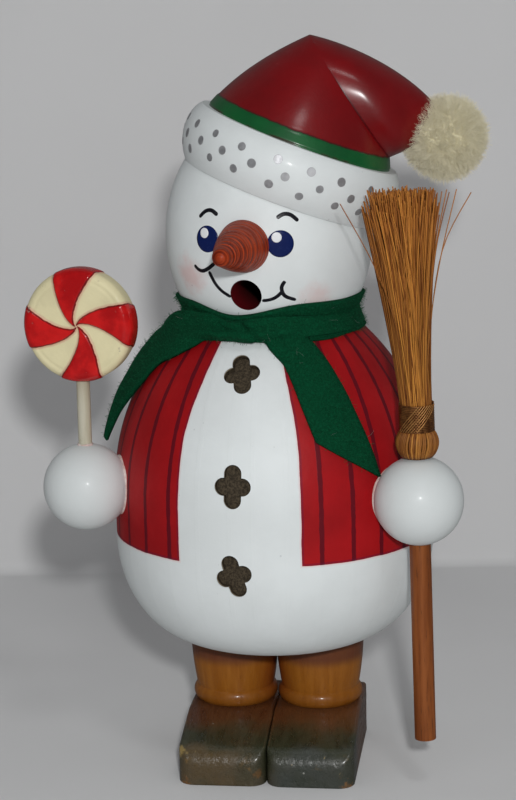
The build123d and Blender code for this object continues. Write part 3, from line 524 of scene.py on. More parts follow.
def shoe_finish():
    """Dark stain, red-brown by the legs and green and grey at the toe, rubbed along the edges."""
    t, place = new_material("shoe_stain")
    look = t.group(LACQUER, place)
    squared = t("ShaderNodeVectorRotate", {"Vector": place, "Angle": math.radians(-BASE_TURN)},
                rotation_type="Z_AXIS")
    lying = t("ShaderNodeVectorRotate", {"Vector": squared, "Angle": math.radians(90.0)},
              rotation_type="X_AXIS")
    grain = t.group(GRAIN, lying)
    x, y, _ = t.split(squared)
    right = t.rise(x, -6.0, 6.0)
    brown = t.mix(right, (0.076, 0.024, 0.010), (0.115, 0.041, 0.014))
    brown = t.mix(grain["Streaks"], brown, (0.120, 0.045, 0.016))
    green = t.mix(grain["Streaks"], (0.026, 0.029, 0.014), (0.043, 0.045, 0.022))
    grey = t.mix(right, (0.096, 0.066, 0.031), (0.046, 0.053, 0.045))
    grey = t.tint(grey, look["Mottle"], 0.4, (0.076, 0.070, 0.052))
    wander = t.blotch(place, 0.08, 3.0, 0.3, 0.7, -3.0, 3.0)
    front = t.plus(y, wander)
    tone = t.mix(t.rise(front, -31.0, -16.0), green, brown)
    tone = t.mix(t.rise(front, -42.0, -34.0, 1.0, 0.0), tone, grey)
    edge = t.attribute("on_edge")
    patchy = t.rise(t.noise(place, 0.16, 5.0, 0.7), 0.57, 0.66)
    rubbed = t.times(t.rise(edge, 0.35, 0.9), patchy)
    tone = t.tint(tone, rubbed, 0.55, (0.22, 0.130, 0.048))
    for spot, size, bare in SHOE_WEAR:
        ragged = t.rise(t.noise(place, 0.5, 4.0, 0.7), 0.3, 0.7, -0.4 * size, 0.4 * size)
        away = t.plus(t.vector("DISTANCE", squared, spot, out=1), ragged)
        tone = t.mix(t.rise(away, 0.4 * size, size, 0.8, 0.0), tone, bare)
    chips = t.times(t.blotch(place, 0.45, 4.0, 0.69, 0.73), t.rise(edge, 0.2, 0.8))
    tone = t.tint(tone, chips, 0.8, (0.42, 0.30, 0.12))
    tone = t.tint(tone, look["Specks"], 0.7, (0.36, 0.36, 0.32))
    rough = t.rise(grain["Streaks"], 0.0, 1.0, 0.26, 0.42)
    relief = t.plus(t.times(grain["Height"], 1.4), look["Height"])
    return shade(t, tone, rough, relief, depth=0.08, coat_weight=0.4, coat_roughness=0.2,
                 specular_ior_level=0.4)


def nose_finish():
    """Orange-brown stain with darker turned rings."""
    t, place = new_material("nose_stain")
    grain = t.group(GRAIN, place)
    rings = t.noise(t.vector("MULTIPLY", place, (0.05, 1.0, 0.05)), 1.5, 2.0)
    tone = t.mix(t.rise(rings, 0.35, 0.65), (0.125, 0.010, 0.003), (0.40, 0.050, 0.012))
    tone = t.tint(tone, grain["Pores"], 0.5, (0.10, 0.014, 0.006))
    return shade(t, tone, 0.45, rings, depth=0.16, coat_weight=0.04, coat_roughness=0.2,
                 specular_ior_level=0.12)


def felt_finish():
    t, place = new_material("green_felt")
    look = t.group(FIBRES, place)
    tone = t.mix(look["Tone"], (0.0010, 0.037, 0.014), (0.0024, 0.083, 0.033))
    tone = t.tint(tone, look["Pale"], 0.4, (0.02, 0.13, 0.065))
    return shade(t, tone, 0.95, look["Height"], depth=0.45, specular_ior_level=0.08)


def fuzz_finish(name, dark, light):
    """Loose fibres of felt or wool, uneven in tone."""
    t, place = new_material(name)
    look = t.group(FIBRES, place)
    tone = t.mix(look["Tone"], dark, light)
    return shade(t, tone, 0.9, specular_ior_level=0.1)


def straw_finish(name, dark, light):
    """Dried straw: each strand has a tone of its own, darker towards the broom's sides as painted shade,
    and a little redder towards the top.
    """
    t, place = new_material(name)
    tone_and_side_shade = t.attribute("strand_tone")
    along = t.noise(t.vector("MULTIPLY", place, (1.0, 1.0, 0.1)), 0.9, 3.0)
    share = t.plus(t.times(tone_and_side_shade, 0.85), t.rise(along, 0.3, 0.7, 0.0, 0.20))
    tone = t.mix(share, dark, light)
    top = t.rise(t.split(place)[2], HAND_HEIGHT + BINDING_TOP + 10.0, HAND_HEIGHT + STRAW_TOP, 0.0, 0.3)
    tone = t.mix(top, tone, (0.62, 0.215, 0.045))
    return shade(t, tone, 0.5, along, depth=0.04)


def sweet_finish():
    """Cream paint with four red swirls, a dark outline round each and small chips."""
    t, place = new_material("sweet_paint")
    look = t.group(LACQUER, place)
    blade = t.attribute("into_swirl")
    waver = t.blotch(place, 0.5, 2.0, 0.2, 0.8, -0.12, 0.12)
    into = t.plus(blade, waver)
    cream = t.mix(look["Mottle"], (0.78, 0.71, 0.44), (0.66, 0.60, 0.37))
    cream = t.tint(cream, look["Specks"], 0.4, (0.36, 0.29, 0.17))
    cream = t.tint(cream, t.between(into, -1.1, -0.2, 0.0, 0.1), 0.5, (0.60, 0.25, 0.20))
    pooled = t.blotch(place, 0.14, 4.0, 0.36, 0.64)
    red = t.mix(pooled, (0.62, 0.0110, 0.011), (0.40, 0.0045, 0.006))
    red = t.tint(red, t.between(into, -0.05, 0.1, 0.3, 0.6), 0.8, (0.10, 0.006, 0.008))
    tone = t.mix(t.rise(into, -0.06, 0.06), cream, red)
    away = t.vector("DISTANCE", place, (-HAND_OUT, HAND_FRONT, SWEET_HEIGHT), out=1)
    chips = t.times(t.blotch(place, 0.28, 4.0, 0.67, 0.71), t.rise(away, 15.0, 18.0))
    tone = t.tint(tone, chips, 0.8, (0.32, 0.26, 0.22))
    rough = t.rise(into, -0.1, 0.2, 0.5, 0.24)
    gloss = t.rise(into, -0.1, 0.2, 0.04, 0.6)
    return shade(t, tone, rough, look["Height"], depth=0.11, coat_weight=gloss, coat_roughness=0.09)


def cream_stick_finish():
    t, place = new_material("cream_stick")
    grain = t.group(GRAIN, place)
    tone = t.mix(grain["Streaks"], (0.46, 0.43, 0.31), (0.56, 0.53, 0.42))
    smudge = t.blotch(place, 0.16, 4.0, 0.55, 0.72)
    tone = t.tint(tone, smudge, 0.45, (0.28, 0.22, 0.13))
    top = t.rise(t.split(place)[2], SWEET_HEIGHT - 30.0, SWEET_HEIGHT - 18.0, 0.0, 0.35)
    tone = t.mix(top, tone, (0.30, 0.25, 0.16))
    return shade(t, tone, 0.42, grain["Height"], depth=0.05, coat_weight=0.15)


def metal_finish(name, dark, light, rough, metallic=1.0):
    t, place = new_material(name)
    patch = t.blotch(place, 0.5, 4.0, 0.3, 0.7)
    tone = t.mix(patch, dark, light)
    worn = t.rise(patch, 0.0, 1.0, rough, rough + 0.15)
    return shade(t, tone, worn, patch, depth=0.02, metallic=metallic)


def ink_finish(name, colour, worn, rough=0.3):
    """Brushed-on face paint, thin in places."""
    t, place = new_material(name)
    patch = t.blotch(place, 0.8, 3.0, 0.55, 0.8)
    tone = t.mix(t.times(patch, 0.5), colour, worn)
    return shade(t, tone, rough, t.noise(place, 1.2), depth=0.03, coat_weight=0.05, coat_roughness=0.12)


def glue_finish():
    t, place = new_material("glue")
    patch = t.blotch(place, 0.5, 3.0, 0.3, 0.7)
    tone = t.mix(patch, (0.70, 0.62, 0.58), (0.60, 0.40, 0.36))
    return shade(t, tone, 0.25, patch, depth=0.15, coat_weight=0.4)


# Points on the turned parts.
def body_radius(z):
    low = min(max(0.0, (FOOT_TOP - z) / FOOT_RISE), 1.0)
    high = max(0.0, min(z, BODY_TOP) - SHOULDER_FOOT)
    reach = FOOT_REACH * (math.sqrt(1.0 - low * low) - 1.0)
    return BODY_RADIUS + reach + math.sqrt(SHOULDER_RADIUS ** 2 - high * high) - SHOULDER_RADIUS


def head_radius(z):
    share = (z - HEAD_CENTRE) / HEAD_HALF_HEIGHT
    return HEAD_RADIUS * math.sqrt(max(0.0, 1.0 - share * share))


NECK_LOW = 149.0
NECK_HIGH = 156.0


def figure_radius(z):
    """What the felt lies on: the body, the head, and a bridge over the groove between them."""
    if z <= NECK_LOW:
        return body_radius(z)
    if z >= NECK_HIGH:
        return head_radius(z)
    share = (z - NECK_LOW) / (NECK_HIGH - NECK_LOW)
    return body_radius(NECK_LOW) * (1.0 - share) + head_radius(NECK_HIGH) * share


def round_axis(angle, radius, z):
    """A point by its degrees from the front, its distance from the axis and its height."""
    turn = math.radians(angle)
    return Vector((radius * math.sin(turn), -radius * math.cos(turn), z))


def on_head(angle, z, lift):
    """A point on the head, lifted off along the head's own normal."""
    point = round_axis(angle, head_radius(z), z)
    slope = Vector((point.x / HEAD_RADIUS ** 2, point.y / HEAD_RADIUS ** 2,
                    (z - HEAD_CENTRE) / HEAD_HALF_HEIGHT ** 2))
    return point + slope.normalized() * lift


def on_cap(out, depth, up):
    """A point given in the cap's own frame: out along the bend, across it, and up its axis."""
    return CAP_FOOT + CAP_OUT * out + CAP_UP.cross(CAP_OUT) * depth + CAP_UP * up


def smooth_step(low, high, value):
    share = min(max((value - low) / (high - low), 0.0), 1.0)
    return share * share * (3.0 - 2.0 * share)


def through(points, samples):
    """Points along a smooth line through the given ones; each is a tuple of numbers."""
    last = len(points) - 1
    line = []
    for index in range(samples + 1):
        place = last * index / samples
        span = min(int(place), last - 1)
        share = place - span
        a = points[max(span - 1, 0)]
        b = points[span]
        c = points[span + 1]
        d = points[min(span + 2, last)]
        line.append(tuple(
            0.5 * (2 * q + (r - p) * share + (2 * p - 5 * q + 4 * r - s) * share ** 2
                   + (3 * q - p - 3 * r + s) * share ** 3)
            for p, q, r, s in zip(a, b, c, d)))
    return line


def bezier(points, share):
    """A point on the cubic curve with these four control points."""
    a, b, c, d = (Vector(point) for point in points)
    rest = 1.0 - share
    return a * rest ** 3 + b * 3 * rest ** 2 * share + c * 3 * rest * share ** 2 + d * share ** 3


# Meshes.
def mesh_from(name, points, faces, closed=True):
    """A smooth mesh from points in millimetres, with its normals outwards."""
    mesh = bpy.data.meshes.new(name)
    mesh.from_pydata([Vector(point) * MM for point in points], [], faces)
    if closed:
        work = bmesh.new()
        work.from_mesh(mesh)
        bmesh.ops.recalc_face_normals(work, faces=work.faces)
        work.to_mesh(mesh)
        work.free()
    mesh.shade_smooth()
    return mesh


def circle(radius, height, count):
    """Points evenly round the Z axis."""
    turns = [math.tau * index / count for index in range(count)]
    return [(radius * math.cos(turn), radius * math.sin(turn), height) for turn in turns]


def grid_faces(rows, columns, start=0, close_rows=False, close_columns=False):
    """Four-cornered faces between rows of points; either way may close on itself."""
    faces = []
    for row in range(rows if close_rows else rows - 1):
        here = start + row * columns
        there = start + (row + 1) % rows * columns
        for column in range(columns if close_columns else columns - 1):
            after = (column + 1) % columns
            faces.append((here + column, here + after, there + after, there + column))
    return faces


def skin(name, rings):
    """A closed mesh through rings of points, all of one length, with a cap at each end."""
    around = len(rings[0])
    points = [point for ring in rings for point in ring]
    faces = grid_faces(len(rings), around, close_columns=True)
    for ring, start in ((rings[0], 0), (rings[-1], (len(rings) - 1) * around)):
        points.append(sum((Vector(point) for point in ring), Vector()) / around)
        middle = len(points) - 1
        for column in range(around):
            faces.append((start + column, start + (column + 1) % around, middle))
    return mesh_from(name, points, faces)


def store(mesh, name, values):
    """Keeps one number for each point of a mesh, for its material to read."""
    kept = mesh.attributes.new(name, "FLOAT", "POINT")
    kept.data.foreach_set("value", values)


def new_object(name, data):
    """An object in the scene."""
    made = bpy.data.objects.new(name, data)
    bpy.context.scene.collection.objects.link(made)
    return made


def add_piece(name, mesh, finish, body, slot, *stands_for):
    """Puts a mesh into the scene as a piece that rides on a body."""
    piece = new_object(name, mesh)
    if finish:
        mesh.materials.clear()
        mesh.materials.append(finish)
    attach(piece, body)
    if stands_for:
        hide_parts(*stands_for)
    return piece


def settle(piece):
    """Replaces a piece's mesh by what its modifiers make of it."""
    graph = bpy.context.evaluated_depsgraph_get()
    made = bpy.data.meshes.new_from_object(piece.evaluated_get(graph), depsgraph=graph)
    piece.modifiers.clear()
    piece.data = made


def grow(name, tree, source, **values):
    """The mesh that a geometry node tree makes of a source mesh with these inputs."""
    holder = new_object(name, source)
    modifier = holder.modifiers.new("grow", "NODES")
    modifier.node_group = tree
    for item in tree.interface.items_tree:
        if item.in_out == "INPUT" and item.name in values:
            modifier[item.identifier] = values[item.name]
    settle(holder)
    made = holder.data
    bpy.data.objects.remove(holder)
    made.shade_smooth()
    return made


# Geometry node trees for the repeated parts.
def upright_line(t, count):
    """A line one unit long, with this many points."""
    line = t("GeometryNodeCurvePrimitiveLine", {"Start": (0, 0, 0), "End": (0, 0, 1.0)})
    return t("GeometryNodeResampleCurve", {"Curve": line, "Count": count})


def shake(t, scale):
    """A smooth random vector at each point, about zero."""
    wave = t.noise(t("GeometryNodeInputPosition"), scale, 1.0, out=1)
    return t.vector("SUBTRACT", wave, (0.5, 0.5, 0.5))


def tube(t, line, sides, radius):
    """A curve made solid."""
    ring = t("GeometryNodeCurvePrimitiveCircle", {"Resolution": sides, "Radius": radius})
    return t("GeometryNodeCurveToMesh", {"Curve": line, "Profile Curve": ring, "Fill Caps": True})


def finished(t, made, given, results):
    """Ends a geometry group with real geometry and its material."""
    made = t("GeometryNodeRealizeInstances", {"Geometry": made})
    made = t("GeometryNodeSetMaterial", {"Geometry": made, "Material": given["Finish"]})
    return give(t, results, Mesh=made)


def fibre_tree():
    """Curly fibres standing on a mesh."""
    t, given, results = shape_group(
        "fibres_on_mesh", Float="Density Length Lean Curl Curl_Size Thickness", Int="Points Seed")
    spread = {name: given[name] for name in ("Mesh", "Density", "Seed")}
    scatter = t.add("GeometryNodeDistributePointsOnFaces", spread).outputs
    limits = {0: (-1, -1, -1), 1: (1, 1, 1), "Seed": given["Seed"]}
    tilt = t("FunctionNodeRandomValue", limits, data_type="FLOAT_VECTOR")
    aim = t.vector("ADD", scatter["Normal"], t.vector("MULTIPLY", tilt, given["Lean"]))
    turn = t("FunctionNodeAlignRotationToVector", {"Vector": aim}, axis="Z")
    size = t.times(t.chance(0.45, 1.0, given["Seed"]), given["Length"])
    line = upright_line(t, given["Points"])
    inputs = {"Points": scatter["Points"], "Instance": line, "Rotation": turn, "Scale": size}
    strands = t("GeometryNodeInstanceOnPoints", inputs)
    strands = t("GeometryNodeRealizeInstances", {"Geometry": strands})
    pull = t.times(t("GeometryNodeSplineParameter"), given["Curl"])
    offset = t.vector("MULTIPLY", shake(t, given["Curl_Size"]), pull)
    strands = t("GeometryNodeSetPosition", {"Geometry": strands, "Offset": offset})
    return finished(t, tube(t, strands, 3, given["Thickness"]), given, results)


def straw_tree():
    """A bundle of straws that fans out: round at the foot, wide and swept at the top."""
    t, given, results = shape_group(
        "straw_bundle", Float="Root Low Length Wide Deep Sweep Stray Bow Thickness", Int="Count Seed")

    def chance(low, high, step):
        seed = t("FunctionNodeIntegerMath", {0: given["Seed"], 1: step}, operation="ADD")
        return t.chance(low, high, seed)

    dots = t("GeometryNodePoints", {"Count": given["Count"]})
    strands = t("GeometryNodeInstanceOnPoints", {"Points": dots, "Instance": upright_line(t, 9)})
    angle = chance(0.0, math.tau, 1)
    reach = t.times(t.maths("POWER", chance(0.0, 1.0, 2), 0.42), given["Root"])
    aside, behind = (t.times(reach, t.maths(wave, angle)) for wave in ("COSINE", "SINE"))
    drawn = {"root": (aside, behind, chance(0.86, 1.0, 3)),
             "bend": (chance(-1.0, 1.0, 4), chance(-1.0, 1.0, 5), chance(0.0, 1.0, 6))}
    for label, numbers in drawn.items():
        value = t("ShaderNodeCombineXYZ", dict(enumerate(numbers)))
        kept = {"Geometry": strands, "Name": label, "Value": value}
        strands = t("GeometryNodeStoreNamedAttribute", kept, data_type="FLOAT_VECTOR", domain="INSTANCE")
    strands = t("GeometryNodeRealizeInstances", {"Geometry": strands})
    root, bend = (t("GeometryNodeInputNamedAttribute", {"Name": label}, data_type="FLOAT_VECTOR")
                  for label in drawn)
    root_x, root_y, root_z = t.split(root)
    bend_x, bend_y, bend_z = t.split(bend)
    share = t("GeometryNodeSplineParameter")
    flare = t.maths("POWER", share, 1.5)
    wide = t.maths("MULTIPLY_ADD", flare, t.minus(given["Wide"], 1.0), 1.0)
    deep = t.maths("MULTIPLY_ADD", flare, t.minus(given["Deep"], 1.0), 1.0)
    stray = t.times(t.maths("POWER", share, 1.8), given["Stray"])
    x = t.maths("MULTIPLY_ADD", root_x, wide, t.times(share, given["Sweep"]))
    x = t.maths("MULTIPLY_ADD", bend_x, stray, x)
    bow = t.times(share, t.minus(1.0, share))
    bow = t.times(bow, t.times(given["Bow"], t.minus(bend_z, 0.5)))
    y = t.maths("MULTIPLY_ADD", bend_y, stray, t.times(root_y, deep))
    z = t.plus(t.times(t.times(share, given["Length"]), root_z), given["Low"])
    place = t("ShaderNodeCombineXYZ", {"X": t.plus(x, bow), "Y": y, "Z": z})
    strands = t("GeometryNodeSetPosition", {"Geometry": strands, "Position": place})
    made = tube(t, strands, 4, given["Thickness"])
    # Straws towards the broom's sides get a darker tone: painted shade, with the lit middle left bright.
    aside = t.maths("POWER", t.maths("DIVIDE", t.maths("ABSOLUTE", root_x), given["Root"]), SIDE_POWER)
    tone = t.maths("FRACT", t.times(bend_x, 7.3))
    tone = t.times(tone, t.minus(1.0, t.times(aside, SIDE_SHADE)))
    kept = {"Geometry": made, "Name": "strand_tone", "Value": tone}
    made = t("GeometryNodeStoreNamedAttribute", kept, data_type="FLOAT", domain="POINT")
    return finished(t, made, given, results)


def winding_tree():
    """A wire wound in close turns."""
    t, given, results = shape_group(
        "winding", Float="Turns Radius Rise Thickness Uneven", Bool="Reverse")
    inputs = {"Resolution": 36, "Rotations": given["Turns"], "Start Radius": given["Radius"],
              "End Radius": given["Radius"], "Height": given["Rise"], "Reverse": given["Reverse"]}
    coil = t("GeometryNodeCurveSpiral", inputs)
    offset = t.vector("MULTIPLY", shake(t, 300.0), given["Uneven"])
    coil = t("GeometryNodeSetPosition", {"Geometry": coil, "Offset": offset})
    return finished(t, tube(t, coil, 6, given["Thickness"]), given, results)


def dot_tree():
    """One small flat foil dot on every point of a mesh, facing along the point's outward direction."""
    t, given, results = shape_group("foil_dots", Object="Dot", Int="Seed")
    shape = t("GeometryNodeObjectInfo", {"Object": given["Dot"]}, out=4)
    normal = t("GeometryNodeInputNamedAttribute", {"Name": "outward"}, data_type="FLOAT_VECTOR")
    turn = t("FunctionNodeAlignRotationToVector", {"Vector": normal}, axis="Z")
    size = t.chance(0.88, 1.06, given["Seed"])
    inputs = {"Points": given["Mesh"], "Instance": shape, "Rotation": turn, "Scale": size}
    return finished(t, t("GeometryNodeInstanceOnPoints", inputs), given, results)


# The cap.
def crown_radius(up):
    """The bell of the crown, with the painted band standing slightly proud at its foot."""
    plain = CROWN_RADIUS + CROWN_SLOPE * up + CROWN_CURVE * up * up
    band = smooth_step(BAND_LOW - BAND_EDGE, BAND_LOW + BAND_EDGE, up)
    band -= smooth_step(BAND_TOP - BAND_EDGE, BAND_TOP + BAND_EDGE, up)
    return plain + BAND_PROUD * band


def seam_height(angle):
    """How far up the crown reaches at this angle before it meets the tip."""
    slope = (SEAM_LOW[1] - SEAM_TOP[1]) / (SEAM_LOW[0] - SEAM_TOP[0])
    low, high = 0.0, SEAM_TOP[1]
    for _ in range(40):
        middle = (low + high) / 2
        out = crown_radius(middle) * math.cos(angle)
        if middle < SEAM_TOP[1] + slope * (out - SEAM_TOP[0]):
            low = middle
        else:
            high = middle
    return low


def make_cap():
    """Crown and tip as one skin that steps in a little where the tip leaves the crown."""
    around = 160
    rows = 34
    angles = [math.tau * index / around for index in range(around)]
    tops = [seam_height(angle) for angle in angles]
    rings, heights, crease_shade_values = [], [], []
    shares = [0.985 * (row / rows) ** 1.6 for row in range(rows + 1)] + [1.0]
    top_point, low_point = Vector(SEAM_TOP), Vector(SEAM_LOW)
    length = (low_point - top_point).length
    along = (low_point - top_point) / length
    seam = []
    for angle, top in zip(angles, tops):
        radius = crown_radius(top)
        out, depth = radius * math.cos(angle), radius * math.sin(angle)
        place = (Vector((out, top)) - top_point).dot(along) / length
        seam.append((min(max(place, 0.0), 1.0), depth))
    widest = max(abs(depth) for _, depth in seam)
    for share in shares:
        ring = []
        for angle, top, (place, _) in zip(angles, tops, seam):
            up = top * share
            radius = crown_radius(up)
            ring.append(on_cap(radius * math.cos(angle), radius * math.sin(angle), up))
            heights.append(up)
            crease_shade_values.append(smooth_step(0.2, 0.45, place) if share == 1.0 else 0.0)
        rings.append(ring)
    steps = 30
    for step in range(steps + 1):
        share = step / steps
        upper = bezier(TIP_TOP_LINE, share)
        lower = bezier(TIP_LOW_LINE, share)
        reach = widest + (TIP_END_DEPTH - widest) * (0.1 * share + 0.9 * smooth_step(0.2, 1.0, share))
        fade = (1.0 - share) ** 2
        ring = []
        for place, depth in seam:
            round_depth = 2.0 * math.sqrt(max(place * (1.0 - place), 0.0)) * reach
            true_depth = math.copysign(round_depth, depth) * (1.0 - fade) + depth * fade
            inset = SEAM_STEP * smooth_step(0.12, 0.5, place) * (1.0 - 0.5 * share)
            true_depth *= 1.0 - inset / widest
            point = upper.lerp(lower, place)
            ring.append(on_cap(point.x, true_depth, point.y))
            heights.append(ABOVE_BAND)
            crease_shade_values.append(0.8 * smooth_step(0.2, 0.45, place) if step == 0 else 0.0)
        rings.append(ring)
    mesh = skin("cap", rings)
    store(mesh, "above_brim", heights + [0.0, ABOVE_BAND])
    # How strongly painted shade darkens the crease, on the crown's last ring and the tip's first.
    store(mesh, "crease_shade", crease_shade_values + [0.0, 0.0])
    mesh.set_sharp_from_angle(angle=math.radians(38.0))
    add_piece("cap", mesh, cap_finish(), "figure", "hat_paint", "hat_crown", "hat_tip")


def brim_point(angle, up):
    """A point on the brim, by its degrees round the cap's axis and its height along it."""
    outline = through(BRIM_PROFILE, 40)
    for (low, low_radius), (high, high_radius) in zip(outline, outline[1:]):
        if low <= up <= high:
            share = (up - low) / (high - low)
            radius = low_radius + (high_radius - low_radius) * share
    turn = math.radians(angle)
    return on_cap(radius * math.cos(turn), radius * math.sin(turn), up)


def make_dots():
    """Round foil dots pressed on the brim."""
    chance = random.Random(11)
    points, faces_out = [], []
    for row, up in enumerate(DOT_ROWS):
        for index in range(DOTS_PER_ROW):
            angle = DOT_FIRST + (index + 0.5 * (row % 2)) * 360.0 / DOTS_PER_ROW
            angle += chance.uniform(-1.6, 1.6)
            point = brim_point(angle, up + chance.uniform(-0.4, 0.4))
            _, place, facing, _ = nodes["hat_brim"].closest_point_on_mesh(point * MM)
            points.append(place + facing * DOT_LIFT * MM)
            faces_out.extend(facing)
    scatter = bpy.data.meshes.new("dot_points")
    scatter.from_pydata(points, [], [])
    outward = scatter.attributes.new("outward", "FLOAT_VECTOR", "POINT")
    outward.data.foreach_set("vector", faces_out)
    rings = [circle(DOT_RADIUS * share, up, 20) for share, up in DOT_PROFILE]
    dot = bpy.data.objects.new("dot_shape", skin("dot_shape", rings))
    dot.data.set_sharp_from_angle(angle=math.radians(15.0))
    foil = metal_finish("foil", (0.39, 0.395, 0.41), (0.50, 0.505, 0.52), 0.42, metallic=0.62)
    mesh = grow("foil_dots", dot_tree(), scatter, Dot=dot, Seed=3, Finish=foil)
    bpy.data.objects.remove(dot)
    add_piece("foil_dots", mesh, None, "figure", "white_paint")


def fibres(name, source, finish, density, length, lean, curl, curl_size, thickness, joints, seed):
    """Curly fibres grown on a copy of a mesh."""
    return grow(name, FIBRE_TREE, source.copy(), Density=density, Length=length * MM, Lean=lean,
                Curl=curl * MM, Curl_Size=curl_size, Thickness=thickness * MM, Points=joints,
                Seed=seed, Finish=finish)


def make_pompom():
    """A ball of curly wool on the cap's tip."""
    centre = on_cap(POMPOM_CENTRE[0], 0.0, POMPOM_CENTRE[1])
    core = bpy.data.meshes.new("pompom_core")
    work = bmesh.new()
    bmesh.ops.create_icosphere(work, subdivisions=5, radius=(POMPOM_RADIUS - POMPOM_PILE) * MM)
    for vertex in work.verts:
        bulge = noise.noise(vertex.co / MM * 0.16) * 0.9 + noise.noise(vertex.co / MM * 0.4) * 0.5
        vertex.co += vertex.co.normalized() * bulge * MM + centre * MM
    work.to_mesh(core)
    work.free()
    core.shade_smooth()
    wool = fuzz_finish("wool", (0.92, 0.85, 0.62), (0.98, 0.94, 0.76))
    inner = fuzz_finish("wool_core", (0.90, 0.83, 0.58), (0.98, 0.93, 0.72))
    add_piece("pompom_core", core, inner, "figure", "wool", "pompom")
    for layer, pile in enumerate(WOOL_PILE):
        strands = fibres("pompom_wool", core, wool, *pile)
        add_piece("pompom_wool_%d" % (layer + 1), strands, None, "figure", "wool")


# The face.
PAINT_DEPTH = 0.3          # how far the edge of the paint reaches into the wood
# Across a brush stroke: share of its half width, and depth under its top
STROKE_OUTLINE = ((1.0, PAINT_DEPTH), (1.0, 0.03), (0.6, 0.0),
                  (-0.6, 0.0), (-1.0, 0.03), (-1.0, PAINT_DEPTH))


def make_patch(name, angle, height, radius, lift, finish):
    """A round spot of paint on the head."""
    steps = 6
    around = 40
    rings = []
    for step in range(1, steps + 1):
        reach = radius * step / steps
        edge = lift if step < steps else lift - 0.05
        ring = []
        for index in range(around):
            turn = math.tau * index / around
            up = height + reach * math.sin(turn)
            aside = math.degrees(reach * math.cos(turn) / head_radius(up))
            ring.append(on_head(angle + aside, up, edge))
        rings.append(ring)
    middle = Vector((0.0, 0.0, HEAD_CENTRE))
    rings.append([point + (middle - point).normalized() * PAINT_DEPTH for point in rings[-1]])
    add_piece(name, skin(name, rings), finish, "figure", "white_paint")


def make_stroke(name, route, width, lift, finish):
    """A brush stroke on the head along points given by their degrees and height."""
    line = [on_head(angle, height, lift) for angle, height in through(route, 28)]
    last = len(line) - 1
    rings = []
    for index, point in enumerate(line):
        ahead = (line[min(index + 1, last)] - line[max(index - 1, 0)]).normalized()
        outward = (point - Vector((0.0, 0.0, HEAD_CENTRE))).normalized()
        side = ahead.cross(outward).normalized()
        tip = min(index, last - index) / 3.0
        half = 0.5 * width * math.sqrt(max(1.0 - (1.0 - min(tip, 1.0)) ** 2, 0.02))
        rings.append([point + side * half * across - outward * down for across, down in STROKE_OUTLINE])
    add_piece(name, skin(name, rings), finish, "figure", "white_paint")


# Degrees from the front and height of each point
EYES = ((-21.0, 182.1), (20.3, 180.9))
GLINTS = ((-22.8, 184.0), (18.3, 183.0))
BROWS = (((-27.0, 188.9), (-23.2, 190.9), (-19.0, 191.3), (-14.8, 189.9)),
         ((18.6, 189.1), (22.5, 190.3), (26.5, 189.9), (30.4, 187.9)))
SMILE = (((-31.3, 173.2), (-28.8, 171.9), (-25.4, 171.5), (-21.0, 172.6), (-16.5, 174.5)),
         ((-21.1, 171.6), (-18.2, 167.7), (-14.5, 165.1), (-9.3, 163.2)),
         ((9.4, 162.1), (14.1, 162.4), (18.0, 163.4), (21.6, 165.3)),
         ((22.7, 168.7), (20.8, 166.4), (22.9, 163.6), (29.7, 162.0)))
EYE_RADIUS = 4.35
GLINT_RADIUS = 1.65
BROW_WIDTH = 1.3
SMILE_WIDTH = 1.25
EYE_LIFT = 0.07
GLINT_LIFT = 0.13
LINE_LIFT = 0.09


def make_face():
    navy = ink_finish("eye_paint", (0.006, 0.014, 0.085), (0.02, 0.04, 0.14), 0.22)
    black = ink_finish("line_paint", (0.008, 0.008, 0.012), (0.10, 0.10, 0.11))
    glint = ink_finish("glint_paint", (0.80, 0.82, 0.84), (0.62, 0.65, 0.70))
    for side, (angle, height) in zip(("left", "right"), EYES):
        make_patch("eye_" + side, angle, height, EYE_RADIUS, EYE_LIFT, navy)
    for side, (angle, height) in zip(("left", "right"), GLINTS):
        make_patch("glint_" + side, angle, height, GLINT_RADIUS, GLINT_LIFT, glint)
    for side, route in zip(("left", "right"), BROWS):
        make_stroke("brow_" + side, route, BROW_WIDTH, LINE_LIFT, black)
    for number, route in enumerate(SMILE):
        make_stroke("smile_%d" % (number + 1), route, SMILE_WIDTH, LINE_LIFT, black)


# The scarf: edge pairs are (degrees from the front, height, distance off the wood).
RING_PROFILE = ((31.2, 160.5), (29.9, 157.7), (28.5, 155.2), (28.3, 154.2), (29.6, 152.9),
                (30.5, 151.3), (30.8, 149.9), (31.4, 148.8))
RING_DIP = 3.4
RING_DIP_MIDDLE = -6.0
RING_DIP_WIDTH = 26.0
RING_CLEAR = 0.66          # the least room between the ring's middle and the wood
